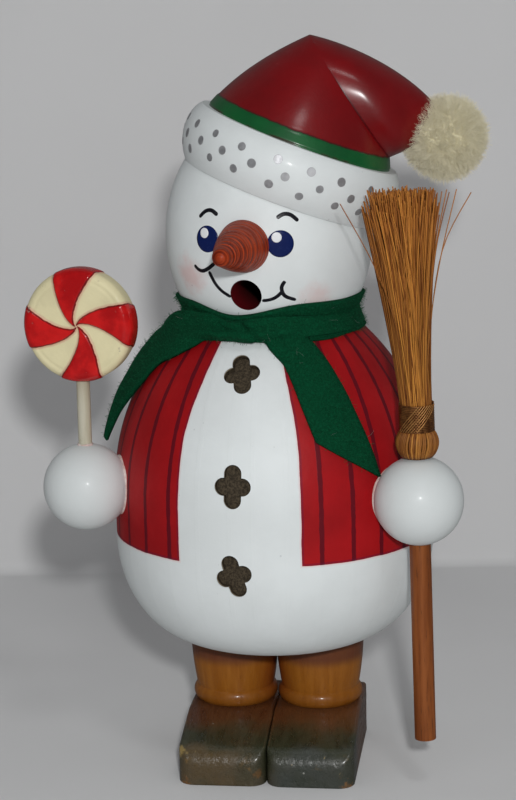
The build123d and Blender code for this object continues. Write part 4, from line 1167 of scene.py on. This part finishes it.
# Folds at the crossing: degrees, degrees for each millimetre up, height, depth and half width in degrees.
TUCKS = ((1.5, -2.2, 153.0, 1.5, 2.6), (-14.0, -2.0, 153.5, 0.7, 3.4))
RIGHT_TAIL = (((12, 152.5, 1.6), (33, 152.5, 1.6)), ((10.5, 149.0, 2.0), (36.5, 149.2, 1.8)),
              ((16.5, 145.0, 1.0), (40.5, 145.0, 1.0)), ((20.5, 141.8, 0.9), (43.6, 139.5, 0.9)),
              ((23.5, 136.3, 0.9), (46.2, 131.8, 0.9)), ((25.8, 130.2, 0.9), (48.5, 123.6, 0.9)),
              ((27.9, 124.6, 0.9), (50.6, 116.3, 0.9)), ((29.9, 119.0, 0.9), (53.2, 105.8, 0.9)))
LEFT_TAIL = (((90, 154.4, 0.7), (90, 150.2, 0.7)), ((74, 154.9, 1.2), (73, 150.0, 1.4)),
             ((57, 155.6, 1.7), (56, 150.0, 2.0)), ((40, 156.3, 2.1), (39, 150.0, 2.4)),
             ((26, 156.8, 2.4), (25, 149.8, 2.7)),
             ((12, 156.6, 2.6), (10, 149.4, 3.2)), ((0, 155.6, 2.8), (-4, 149.3, 3.4)),
             ((-10, 155.0, 2.8), (-14, 149.6, 3.2)), ((-24, 157.0, 2.8), (-25, 149.0, 2.8)),
             ((-42, 157.4, 3.0), (-33, 146.2, 1.9)), ((-60, 154.8, 4.2), (-43, 142.6, 1.6)),
             ((-75, 149.0, 5.6), (-52.5, 139.2, 1.5)), ((-80, 142.4, 5.5), (-58.5, 133.4, 1.6)),
             ((-79, 136.0, 5.3), (-65, 126.8, 1.8)), ((-77, 129.0, 5.2), (-70, 120.5, 2.6)),
             ((-75, 120.0, 4.9), (-72, 114.5, 3.3)), ((-73.8, 112.6, 4.5), (-72.8, 110.8, 3.8)))


def tucked(angle, height):
    """How far the crossing is drawn in or pushed out, by the knot's slanting folds."""
    folds = 0.0
    for middle, slant, level, deep, width in TUCKS:
        off = (angle - middle - slant * (height - level)) / width
        folds -= deep * math.exp(-off * off) - 0.5 * deep * math.exp(-(abs(off) - 2.0) ** 2)
    return folds


def strip(points, faces, stations, bow, pleats, across=14, along=64):
    """Adds a felt strip between two edges; it lies on the figure and bows outwards in its middle."""
    start = len(points)
    first = through([pair[0] for pair in stations], along)
    second = through([pair[1] for pair in stations], along)
    for row, (one, two) in enumerate(zip(first, second)):
        for column in range(across + 1):
            share = column / across
            angle, height, off = (a + (b - a) * share for a, b in zip(one, two))
            lift = off + bow(row / along) * 4.0 * share * (1.0 - share)
            wander = noise.noise(Vector((angle * 0.09, height * 0.16, start * 0.01)))
            pleat = pleats(row / along) * math.sin(math.tau * (1.6 * share + 0.15))
            lift += tucked(angle, height) * min(1.0, pleats(row / along) * 2.0)
            radius = figure_radius(height) + lift + 0.4 * wander + pleat
            points.append(round_axis(angle, radius, height))
    faces.extend(grid_faces(along + 1, across + 1, start))


def facing_out(points, face):
    """The face with its corners in the order that makes it look away from the figure's axis."""
    first, second, third = (points[corner] for corner in face[:3])
    outward = Vector((first.x + third.x, first.y + third.y, 0.0))
    return face if (second - first).cross(third - first).dot(outward) >= 0 else face[::-1]


def scarf_ring(around=180):
    """Points and faces of the creased ring in the neck; it dips in front."""
    points = []
    profile = through(RING_PROFILE, 21)
    for index in range(around):
        angle = 360.0 * index / around
        turn = math.radians(angle)
        from_dip = (angle - RING_DIP_MIDDLE + 180.0) % 360.0 - 180.0
        dip = RING_DIP * math.exp(-(from_dip / RING_DIP_WIDTH) ** 2)
        for radius, height in profile:
            fold = noise.noise(Vector((math.cos(turn) * 2.2, math.sin(turn) * 2.2, height * 0.11)))
            level = height + 0.7 * fold - dip * smooth_step(150.0, 160.0, height)
            radius = max(radius + 0.35 * fold, figure_radius(level) + RING_CLEAR)
            points.append(round_axis(angle, radius, level))
    return points, grid_faces(around, len(profile), close_rows=True)


def make_scarf():
    """A dark felt scarf: a creased ring in the neck, crossed in front, with two loose tails."""
    points, faces = scarf_ring()
    strip(points, faces, RIGHT_TAIL, lambda share: 0.25 + 0.5 * (1.0 - share),
          lambda share: 0.35 * (1.0 - smooth_step(0.1, 0.5, share)))
    strip(points, faces, LEFT_TAIL,
          lambda share: 2.1 * smooth_step(0.18, 0.36, share) - 1.7 * smooth_step(0.5, 0.85, share),
          lambda share: 0.75 * smooth_step(0.2, 0.34, share) * (1.0 - smooth_step(0.45, 0.7, share)),
          across=22, along=130)
    mesh = mesh_from("felt_scarf", points, [facing_out(points, face) for face in faces], closed=False)
    sheet = mesh.copy()
    piece = add_piece("felt_scarf", mesh, felt_finish(), "figure", "felt", "scarf")
    thick = piece.modifiers.new("thickness", "SOLIDIFY")
    thick.thickness = FELT_THICKNESS * MM
    thick.offset = 0.0
    thick.use_even_offset = True
    settle(piece)
    fuzz = fuzz_finish("felt_fuzz", (0.002, 0.060, 0.025), (0.016, 0.165, 0.070))
    thread = fuzz_finish("pale_thread", (0.16, 0.24, 0.20), (0.42, 0.48, 0.44))
    for (name, pile), finish in zip(FELT_PILE.items(), (fuzz, fuzz, thread)):
        strands = fibres(name, sheet, finish, *pile)
        add_piece(name, strands, None, "figure", "felt")


# The lollipop: each swirl's two edges at the rim, in degrees, and how fast they wind towards the middle.
SWIRL_LEAD = -24.5
SWIRL_TRAIL = 20.5
SWIRL_TWIST = 20.0
SWIRL_RAISED = 0.9
SWEET_EDGE = 2.6
GROOVE_DEPTH = 0.22        # a fine groove runs round the cream paint
GROOVE_INSET = 3.0         # how far inside the rim it lies
GROOVE_WIDTH = 0.45


def into_swirl(angle, radius):
    """Distance in millimetres into the nearest of the four red swirls; negative outside them."""
    swirl = SWIRL_TWIST * math.log(max(radius / SWEET_RADIUS, 0.02))
    width = SWIRL_TRAIL - SWIRL_LEAD
    turn = (angle - SWIRL_LEAD - swirl) % 90.0
    inside = min(turn, width - turn) if turn <= width else -min(turn - width, 90.0 - turn)
    return math.radians(inside) * max(radius, 0.6)


def make_sweet():
    """A round lollipop: a cream disc with four raised red swirls that run over its rim."""
    around = 288
    half = SWEET_THICKNESS / 2
    flat = SWEET_RADIUS - SWEET_EDGE
    profile = [(flat * (0.02 + 0.98 * step / 36), half, 0.0, 1.0) for step in range(37)]
    for step in range(1, 8):
        turn = math.radians(90.0 * step / 7)
        out, ahead = math.sin(turn), math.cos(turn)
        profile.append((flat + SWEET_EDGE * out, half - SWEET_EDGE + SWEET_EDGE * ahead, out, ahead))
    profile += [(r, -h, nr, -nh) for r, h, nr, nh in reversed(profile)]
    rings, values = [], []
    for radius, height, out, ahead in profile:
        ring = []
        for index in range(around):
            angle = 360.0 * index / around
            into = into_swirl(angle if height > 0 else -angle, radius)
            relief = SWIRL_RAISED * smooth_step(-0.35, 0.6, into)
            if into < 0:
                from_groove = (radius - SWEET_RADIUS + GROOVE_INSET) / GROOVE_WIDTH
                relief -= GROOVE_DEPTH * math.exp(-from_groove ** 2)
            reach = radius + out * relief * 0.35
            turn = math.radians(angle)
            ring.append((-HAND_OUT + reach * math.sin(turn), HAND_FRONT - height - ahead * relief,
                         SWEET_HEIGHT + reach * math.cos(turn)))
            values.append(into)
        rings.append(ring)
    mesh = skin("lollipop_sweet", rings)
    store(mesh, "into_swirl", values + [-1.0, -1.0])
    add_piece("lollipop_sweet", mesh, sweet_finish(), "figure", "cream_paint", "lollipop_disc")


# The broom; a few turns of its wire cross the band slantwise at the front.
STRAW_COUNT = 1150
STRAW_RADIUS = 0.2
STRAW_WIDE = 1.55          # how much wider and deeper the fan is at its top
STRAW_DEEP = 1.6
STRAW_SWEEP = -3.1         # how far the fan leans over at its top
STRAW_STRAY = 5.2
STRAW_BOW = 7.0
STRAY_RADIUS = 0.17
BULB_STRAWS = 54
BULB_STRAW_RADIUS = 0.38
SIDE_SHADE = 0.75          # how much darker and redder the straws are at the broom's sides: painted shade
SIDE_POWER = 1.3
WIRE_TURNS = 16.0
WIRE_RADIUS = 0.27
WIRE_UNEVEN = 0.1
OVER_WRAPS = 8
OVER_RADIUS = 0.2
OVER_SWEEP = 74.0          # degrees that each crossing turn goes round
OVER_STEP = 9.4            # degrees from one crossing turn to the next
# Radius and height of the dark core inside the straws, which stands for the shade between them
SHADE_CORE_PROFILE = ((3.6, BULB_FOOT + 0.1), (BUNDLE_RADIUS - 0.5, BULB_FOOT + 0.2), (BULB_RADIUS - 0.7, 17.0),
                (BULB_RADIUS - 0.5, 19.0), (BULB_RADIUS - 0.8, 21.0), (BUNDLE_RADIUS - 0.3, BULB_TOP),
                (BUNDLE_RADIUS - 0.3, BINDING_TOP - 1.0), (3.6, BINDING_TOP - 0.4))


def broom_frame():
    """The broom's own frame: its origin in the hand, Z along the stick, X in the plane of its lean."""
    turn = math.radians(BROOM_TURN)
    lean = math.radians(BROOM_LEAN)
    along = Vector((math.cos(turn), math.sin(turn), 0.0))
    up = Vector((0.0, 0.0, math.cos(lean))) - along * math.sin(lean)
    across = along * math.cos(lean) + Vector((0.0, 0.0, math.sin(lean)))
    frame_axes = Matrix((across, up.cross(across), up)).transposed().to_4x4()
    frame_axes.translation = Vector((HAND_OUT, HAND_FRONT, HAND_HEIGHT)) * MM
    return frame_axes


# Straws that stand off the fan, as points in the broom's own frame
STRAYS = (((-3.0, -4.0, 34.0), (-6.5, -5.6, 60.0), (-12.5, -7.0, 78.0), (-22.3, -8.0, 97.5)),
          ((3.0, -3.0, 34.0), (4.6, -3.4, 60.0), (6.4, -3.6, 82.0), (9.6, -3.8, 99.6)),
          ((3.4, -1.5, 34.0), (5.0, -1.6, 60.0), (7.6, -1.8, 82.0), (12.0, -2.0, 99.0)),
          ((2.6, -3.4, 34.0), (3.8, -3.8, 56.0), (6.8, -4.2, 80.0), (11.0, -4.6, 100.2)),
          ((3.2, -2.2, 34.0), (4.8, -2.4, 56.0), (8.6, -2.6, 78.0), (14.2, -3.0, 100.0)),
          ((3.6, -0.5, 34.0), (5.6, -0.4, 60.0), (10.0, -0.2, 82.0), (19.0, 0.0, 98.5)))


def make_fan(placed, empty):
    """The straws above the wire."""
    low = BINDING_TOP - 1.0
    finish = straw_finish("straw", (0.105, 0.022, 0.004), (0.69, 0.300, 0.052))
    fan = grow("broom_straws", straw_tree(), empty, Count=STRAW_COUNT, Root=BUNDLE_RADIUS * MM,
               Low=low * MM, Length=(STRAW_TOP - low) * MM, Wide=STRAW_WIDE, Deep=STRAW_DEEP,
               Sweep=STRAW_SWEEP * MM, Stray=STRAW_STRAY * MM, Bow=STRAW_BOW * MM,
               Thickness=STRAW_RADIUS * MM, Seed=21, Finish=finish)
    fan.transform(placed)
    add_piece("broom_straws", fan, None, "figure", "straw", "broom_bristles")


def make_bulb(placed):
    """The turned-in straws below the wire, and a few that stray from the fan."""
    chance = random.Random(4)
    routes = [(STRAY_RADIUS, through(route, 14)) for route in STRAYS]
    for index in range(BULB_STRAWS):
        turn = math.tau * index / BULB_STRAWS + chance.uniform(-0.03, 0.03)
        route = []
        for step in range(11):
            share = step / 10
            swell = (BULB_RADIUS - BUNDLE_RADIUS) * math.sin(math.pi * share) ** 0.8
            radius = BUNDLE_RADIUS - 0.2 + swell
            twist = turn + chance.uniform(-0.01, 0.01) + 0.12 * share
            route.append((radius * math.cos(twist), radius * math.sin(twist),
                          BULB_FOOT + (BULB_TOP + 0.6 - BULB_FOOT) * share))
        routes.append((BULB_STRAW_RADIUS, route))
    sides = 5
    points, faces, tones = [], [], []
    for thick, route in routes:
        start = len(points)
        last = len(route) - 1
        aside = min(abs(route[5][0]) / BULB_RADIUS, 1.0)
        # Bulb straws towards the sides get a darker tone: painted shade.
        tone = chance.uniform(0.0, 1.0) * (1.0 - SIDE_SHADE * aside ** SIDE_POWER)
        for step, centre in enumerate(route):
            ahead = Vector(route[min(step + 1, last)]) - Vector(route[max(step - 1, 0)])
            side = ahead.orthogonal().normalized()
            other = ahead.cross(side).normalized()
            for x, y, _ in circle(thick, 0.0, sides):
                points.append(Vector(centre) + side * x + other * y)
                tones.append(tone)
        faces += grid_faces(len(route), sides, start, close_columns=True)
        for end in (start, start + last * sides):
            faces.append(tuple(range(end, end + sides)))
    mesh = mesh_from("broom_bulb", points, faces)
    store(mesh, "strand_tone", tones)
    mesh.transform(placed)
    finish = straw_finish("straw_dark", (0.12, 0.028, 0.006), (0.60, 0.265, 0.052))
    add_piece("broom_bulb", mesh, finish, "figure", "straw")


def make_shade_core(placed):
    """A dark core inside the bundle: painted shade that shows between the straws."""
    core = skin("broom_core", [circle(radius, height, 40) for radius, height in SHADE_CORE_PROFILE])
    core.transform(placed)
    finish = stained_wood("straw_shade", (0.02, 0.008, 0.003), (0.06, 0.024, 0.007), (0.01, 0.004, 0.002))
    add_piece("broom_core", core, finish, "figure", "straw")


def make_binding(placed, empty):
    """The wire: one close winding, and turns over it that cross the front slantwise, in a brighter copy
    of the bronze as painted highlight.
    """
    tree = winding_tree()
    wire = metal_finish("bronze_wire", (0.10, 0.034, 0.012), (0.26, 0.112, 0.036), 0.30, metallic=0.55)
    coil = grow("binding_wire", tree, empty, Turns=WIRE_TURNS, Radius=(BUNDLE_RADIUS + 0.5) * MM,
                Rise=(BINDING_TOP - BULB_TOP - 0.5) * MM, Thickness=WIRE_RADIUS * MM,
                Uneven=WIRE_UNEVEN * MM, Reverse=False, Finish=wire)
    coil.transform(placed @ Matrix.Translation((0.0, 0.0, (BULB_TOP + 0.2) * MM)))
    add_piece("binding_wire", coil, None, "figure", "binding_wire", "broom_binding")
    # The crossing turns at the front use a brighter copy of the same bronze: a painted highlight.
    lit_wire = metal_finish("bronze_wire_painted_lit", (0.30, 0.130, 0.042), (0.50, 0.255, 0.084), 0.28,
                          metallic=0.55)
    for number in range(OVER_WRAPS):
        over = grow("binding_over_wire", tree, empty, Turns=OVER_SWEEP / 360.0,
                    Radius=(BUNDLE_RADIUS + 0.86) * MM, Rise=(BINDING_TOP - BULB_TOP - 1.0) * MM,
                    Thickness=OVER_RADIUS * MM, Uneven=WIRE_UNEVEN * MM, Reverse=True, Finish=lit_wire)
        first = -90.0 - OVER_SWEEP / 2 + OVER_STEP * (number - (OVER_WRAPS - 1) / 2)
        over.transform(placed @ Matrix.Translation((0.0, 0.0, (BULB_TOP + 0.5) * MM))
                       @ Matrix.Rotation(math.radians(first), 4, "Z"))
        add_piece("binding_over_wire_%d" % (number + 1), over, None, "figure", "binding_wire")


def make_broom():
    """Straws bound on the stick: a fan above the wire and a bulb of turned-in ends below it."""
    placed = broom_frame()
    empty = bpy.data.meshes.new("nothing")
    make_fan(placed, empty)
    make_bulb(placed)
    make_shade_core(placed)
    make_binding(placed, empty)


# The shoes.
def rounded(distance, radius):
    """How far a rounded end draws back from its block, at this distance from the end."""
    short = max(radius - distance, 0.0)
    return radius - math.sqrt(max(radius * radius - short * short, 0.0))


def shoe_ring(side, ahead, inset):
    """One cross section of a shoe, and how near each of its points is to an edge."""
    slope = max(0.0, (ahead - SHOE_INSTEP) / (SHOE_TOE - SHOE_INSTEP))
    top = SHOE_HEIGHT - (SHOE_HEIGHT - SHOE_TOE_HEIGHT) * slope
    from_toe = SHOE_TOE - ahead
    end = rounded(from_toe, SHOE_ROUND) + rounded(ahead + SHOE_HEEL, SHOE_EDGE) + inset
    low = SHOE_PARTING / 2 + end
    high = SHOE_PARTING / 2 + SHOE_WIDTH - end
    top -= end
    floor = inset * 0.6
    points, edges = [], []
    corners = ((low + SOLE_EDGE, floor + SOLE_EDGE, 180.0, SOLE_EDGE),
               (high - SOLE_EDGE, floor + SOLE_EDGE, 270.0, SOLE_EDGE),
               (high - SHOE_EDGE, top - SHOE_EDGE, 0.0, SHOE_EDGE),
               (low + SHOE_EDGE, top - SHOE_EDGE, 90.0, SHOE_EDGE))
    arcs = []
    for x, z, start, radius in corners:
        turns = [math.radians(start + 22.5 * step) for step in range(5)]
        arcs.append([Vector((x + radius * math.cos(turn), z + radius * math.sin(turn)))
                     for turn in turns])
    toe = smooth_step(6.0, 0.5, from_toe) if inset < 0.5 else 0.0
    for number, arc in enumerate(arcs):
        for step, point in enumerate(arc):
            points.append(point)
            edges.append(max(1.0 - 0.3 * abs(step - 2), 0.6 * toe) if inset < 0.5 else 0.0)
        following = arcs[(number + 1) % 4][0]
        for share in (0.08, 0.25, 0.5, 0.75, 0.92):
            points.append(arc[-1].lerp(following, share))
            edges.append(max(0.25 if share in (0.08, 0.92) else 0.0, 0.6 * toe))
    ring = []
    turned = Matrix.Rotation(math.radians(BASE_TURN), 3, "Z")
    for x, z in points:
        point = Vector((side * x, -ahead, z))
        uneven = SHOE_UNEVEN if z > 0.5 else 0.0
        ring.append(turned @ (point + noise.noise_vector(point * 0.12) * uneven))
    return ring, edges


def make_shoes():
    """Two stained blocks with softened, rubbed edges."""
    noise.seed_set(SHOE_SEED)
    stain = shoe_finish()
    stations = [(-SHOE_HEEL, 3.0), (-SHOE_HEEL, 1.0)]
    stations += [(-SHOE_HEEL + SHOE_EDGE * share, 0.0) for share in (0.0, 0.1, 0.3, 0.6, 1.0)]
    length = SHOE_TOE - SHOE_ROUND + SHOE_HEEL - SHOE_EDGE
    stations += [(-SHOE_HEEL + SHOE_EDGE + length * step / 26, 0.0) for step in range(1, 27)]
    stations += [(SHOE_TOE - SHOE_ROUND * (1.0 - math.sin(math.radians(90.0 * step / 10))), 0.0)
                 for step in range(1, 11)]
    stations += [(SHOE_TOE, 0.8), (SHOE_TOE, 2.4)]
    for side, name in ((-1.0, "left"), (1.0, "right")):
        rings, edges = [], []
        for ahead, inset in stations:
            ring, near = shoe_ring(side, ahead, inset)
            rings.append(ring)
            edges += near
        mesh = skin("stained_shoe_" + name, rings)
        store(mesh, "on_edge", edges + [0.0, 0.0])
        add_piece("stained_shoe_" + name, mesh, stain, "base", "shoe_stain", "shoe_" + name)


# Glue: the beads' thickness, and how much it varies.
HAND_GLUE = (0.8, 0.5)
STICK_GLUE = (0.42, 0.35)


def glue_bead(name, frames):
    """A closed, lumpy bead; each frame is its middle, two directions across it and its thickness."""
    around = 10
    points = []
    for middle, first, second, thick in frames:
        for x, y, _ in circle(thick, 0.0, around):
            points.append(middle + first * x + second * y)
    faces = grid_faces(len(frames), around, close_rows=True, close_columns=True)
    add_piece(name, mesh_from(name, points, faces), GLUE, "figure", "white_paint")


def make_glue():
    """A crooked bead of glue where each hand meets the body, and one round the lollipop's stick."""
    upright = Vector((0.0, 0.0, 1.0))
    for side, name in ((-1.0, "left"), (1.0, "right")):
        hand = Vector((side * HAND_OUT, HAND_FRONT, HAND_HEIGHT))
        inward = Vector((-hand.x, -hand.y, 0.0)).normalized()
        flat = Vector((-inward.y, inward.x, 0.0))
        frames = []
        for index in range(60):
            turn = math.tau * index / 60
            lump = noise.noise(Vector((math.cos(turn) * 1.6, math.sin(turn) * 1.6, side * 3.0)))
            outward = flat * math.cos(turn) + upright * math.sin(turn)
            low, high = 0.0, math.pi / 2
            for _ in range(30):
                lean = (low + high) / 2
                middle = hand + (inward * math.cos(lean) + outward * math.sin(lean)) * HAND_RADIUS
                if math.hypot(middle.x, middle.y) < body_radius(middle.z):
                    low = lean
                else:
                    high = lean
            frames.append((middle, outward, inward, HAND_GLUE[0] + HAND_GLUE[1] * lump))
        glue_bead("glue_" + name, frames)
    frames = []
    foot = Vector((-HAND_OUT, HAND_FRONT, HAND_HEIGHT + HAND_RADIUS - 0.15))
    for index in range(30):
        turn = math.tau * index / 30
        outward = Vector((math.cos(turn), math.sin(turn), 0.0))
        lump = noise.noise(outward * 1.9 + Vector((7.0, 0.0, 0.0)))
        thick = STICK_GLUE[0] + STICK_GLUE[1] * lump
        frames.append((foot + outward * STICK_RADIUS, outward, upright, thick))
    glue_bead("glue_stick", frames)


def dress(finish, *names):
    """Gives CAD nodes a finish."""
    for name in names:
        mesh = nodes[name].data
        mesh.materials.clear()
        mesh.materials.append(finish)


# The finishes of the turned parts.
dress(body_finish(), "body")
dress(head_finish(), "head")
# The hands' white is greyed further than the brim's: painted shade.
dress(white_finish("hand_lacquer_with_painted_shade", 0.6), "hand_left", "hand_right")
dress(white_finish("brim_lacquer", 0.1), "hat_brim")
dress(nose_finish(), "nose")
dress(leg_finish(), "leg_left", "leg_right")
dress(cream_stick_finish(), "lollipop_stick")
dress(stained_wood("broom_stick", (0.17, 0.044, 0.010), (0.28, 0.082, 0.018), (0.06, 0.017, 0.005)),
      "broom_stick")
dress(stained_wood("bare_wood", (0.42, 0.27, 0.13), (0.60, 0.43, 0.24), (0.25, 0.14, 0.06), 0.6, 0.0),
      "plug", "shoe_dowels", "leg_dowels", "hat_dowel", "tip_dowel", "hand_dowels")
dress(metal_finish("tray_brass", (0.30, 0.19, 0.07), (0.62, 0.42, 0.16), 0.35), "incense_tray")
dress(metal_finish("nail_steel", (0.32, 0.31, 0.30), (0.55, 0.55, 0.54), 0.3), "tray_nail")
GLUE = glue_finish()
FIBRE_TREE = fibre_tree()

make_cap()
make_dots()
make_pompom()
make_face()
make_scarf()
make_sweet()
make_broom()
make_shoes()
make_glue()


# The stage: a pale floor that runs up into a pale wall, three soft lights, and an even fill.
def stage_finish(name, grey):
    """Pale paper that shows darker in reflections, and not at all from behind."""
    t, place = new_material(name)
    patches = t.blotch(place, 0.01, 2.0, 0.3, 0.7)
    tone = t.mix(patches, (0.97 * grey, 0.97 * grey, 0.97 * grey), (grey, grey, grey))
    mirrored = t("ShaderNodeLightPath", out=3)
    tone = t.mix(mirrored, tone, (0.25 * grey, 0.25 * grey, 0.25 * grey))
    surface = t("ShaderNodeBsdfPrincipled", {"Base Color": tone, "Roughness": 0.85})
    clear = t("ShaderNodeBsdfTransparent")
    behind = t("ShaderNodeNewGeometry", out=6)
    both = t("ShaderNodeMixShader", {0: behind, 1: surface, 2: clear})
    t("ShaderNodeOutputMaterial", {"Surface": both})
    return t.material


def make_stage():
    rows = ((STAGE_REACH, 0.0), (-WALL_BEHIND + 6.0, 0.0), (-WALL_BEHIND + 2.0, 1.0), (-WALL_BEHIND, 5.0),
            (-WALL_BEHIND, WALL_HEIGHT))
    points = []
    for near, height in rows:
        for side in (-STAGE_REACH, STAGE_REACH):
            points.append(TOWARD_CAMERA * near + CAMERA_RIGHT * side + Vector((0.0, 0.0, height)))
    faces = grid_faces(len(rows), 2)
    floor = new_object("floor", mesh_from("floor", points, faces, closed=False))
    floor.data.materials.append(stage_finish("floor", FLOOR_GREY))


def make_lights():
    target = Vector((0.0, 0.0, LIGHT_TARGET))
    for name, ahead, aside, height, size, power in LIGHTS:
        light = bpy.data.lights.new(name, "AREA")
        light.shape = "DISK"
        light.size = size * MM
        light.energy = power
        lamp = new_object(name, light)
        place = TOWARD_CAMERA * ahead + CAMERA_RIGHT * aside + Vector((0.0, 0.0, height))
        lamp.location = place * MM
        lamp.rotation_euler = (target - place).to_track_quat("-Z", "Y").to_euler()
    world = bpy.data.worlds.new("studio")
    world.use_nodes = True
    world.node_tree.nodes.clear()
    t = Tree(world.node_tree)
    fill = t("ShaderNodeBackground", {"Color": SKY, "Strength": 0.22})
    dim = t("ShaderNodeBackground", {"Color": SKY, "Strength": 0.04})
    mirrored = t("ShaderNodeLightPath", out=3)
    both = t("ShaderNodeMixShader", {0: mirrored, 1: fill, 2: dim})
    t("ShaderNodeOutputWorld", {"Surface": both})
    bpy.context.scene.world = world


def make_camera():
    heading = math.atan2(CAMERA_PLACE.x, -CAMERA_PLACE.y) + math.radians(CAMERA_PAN)
    pitch = math.radians(CAMERA_PITCH)
    level = Vector((-math.sin(heading), math.cos(heading), 0.0))
    ahead = level * math.cos(pitch) - Vector((0.0, 0.0, math.sin(pitch)))
    right = ahead.cross(Vector((0.0, 0.0, 1.0))).normalized()
    up = right.cross(ahead)
    roll = math.radians(CAMERA_ROLL)
    tilted_right = right * math.cos(roll) - up * math.sin(roll)
    tilted_up = up * math.cos(roll) + right * math.sin(roll)
    lens = bpy.data.cameras.new("camera")
    lens.lens = CAMERA_LENS
    lens.sensor_width = SENSOR_WIDTH
    camera = new_object("camera", lens)
    axes = Matrix((tilted_right, tilted_up, -ahead)).transposed().to_4x4()
    axes.translation = CAMERA_PLACE * MM
    camera.matrix_world = axes
    bpy.context.scene.camera = camera


make_stage()
make_lights()
make_camera()
bpy.context.scene.view_settings.view_transform = "Standard"
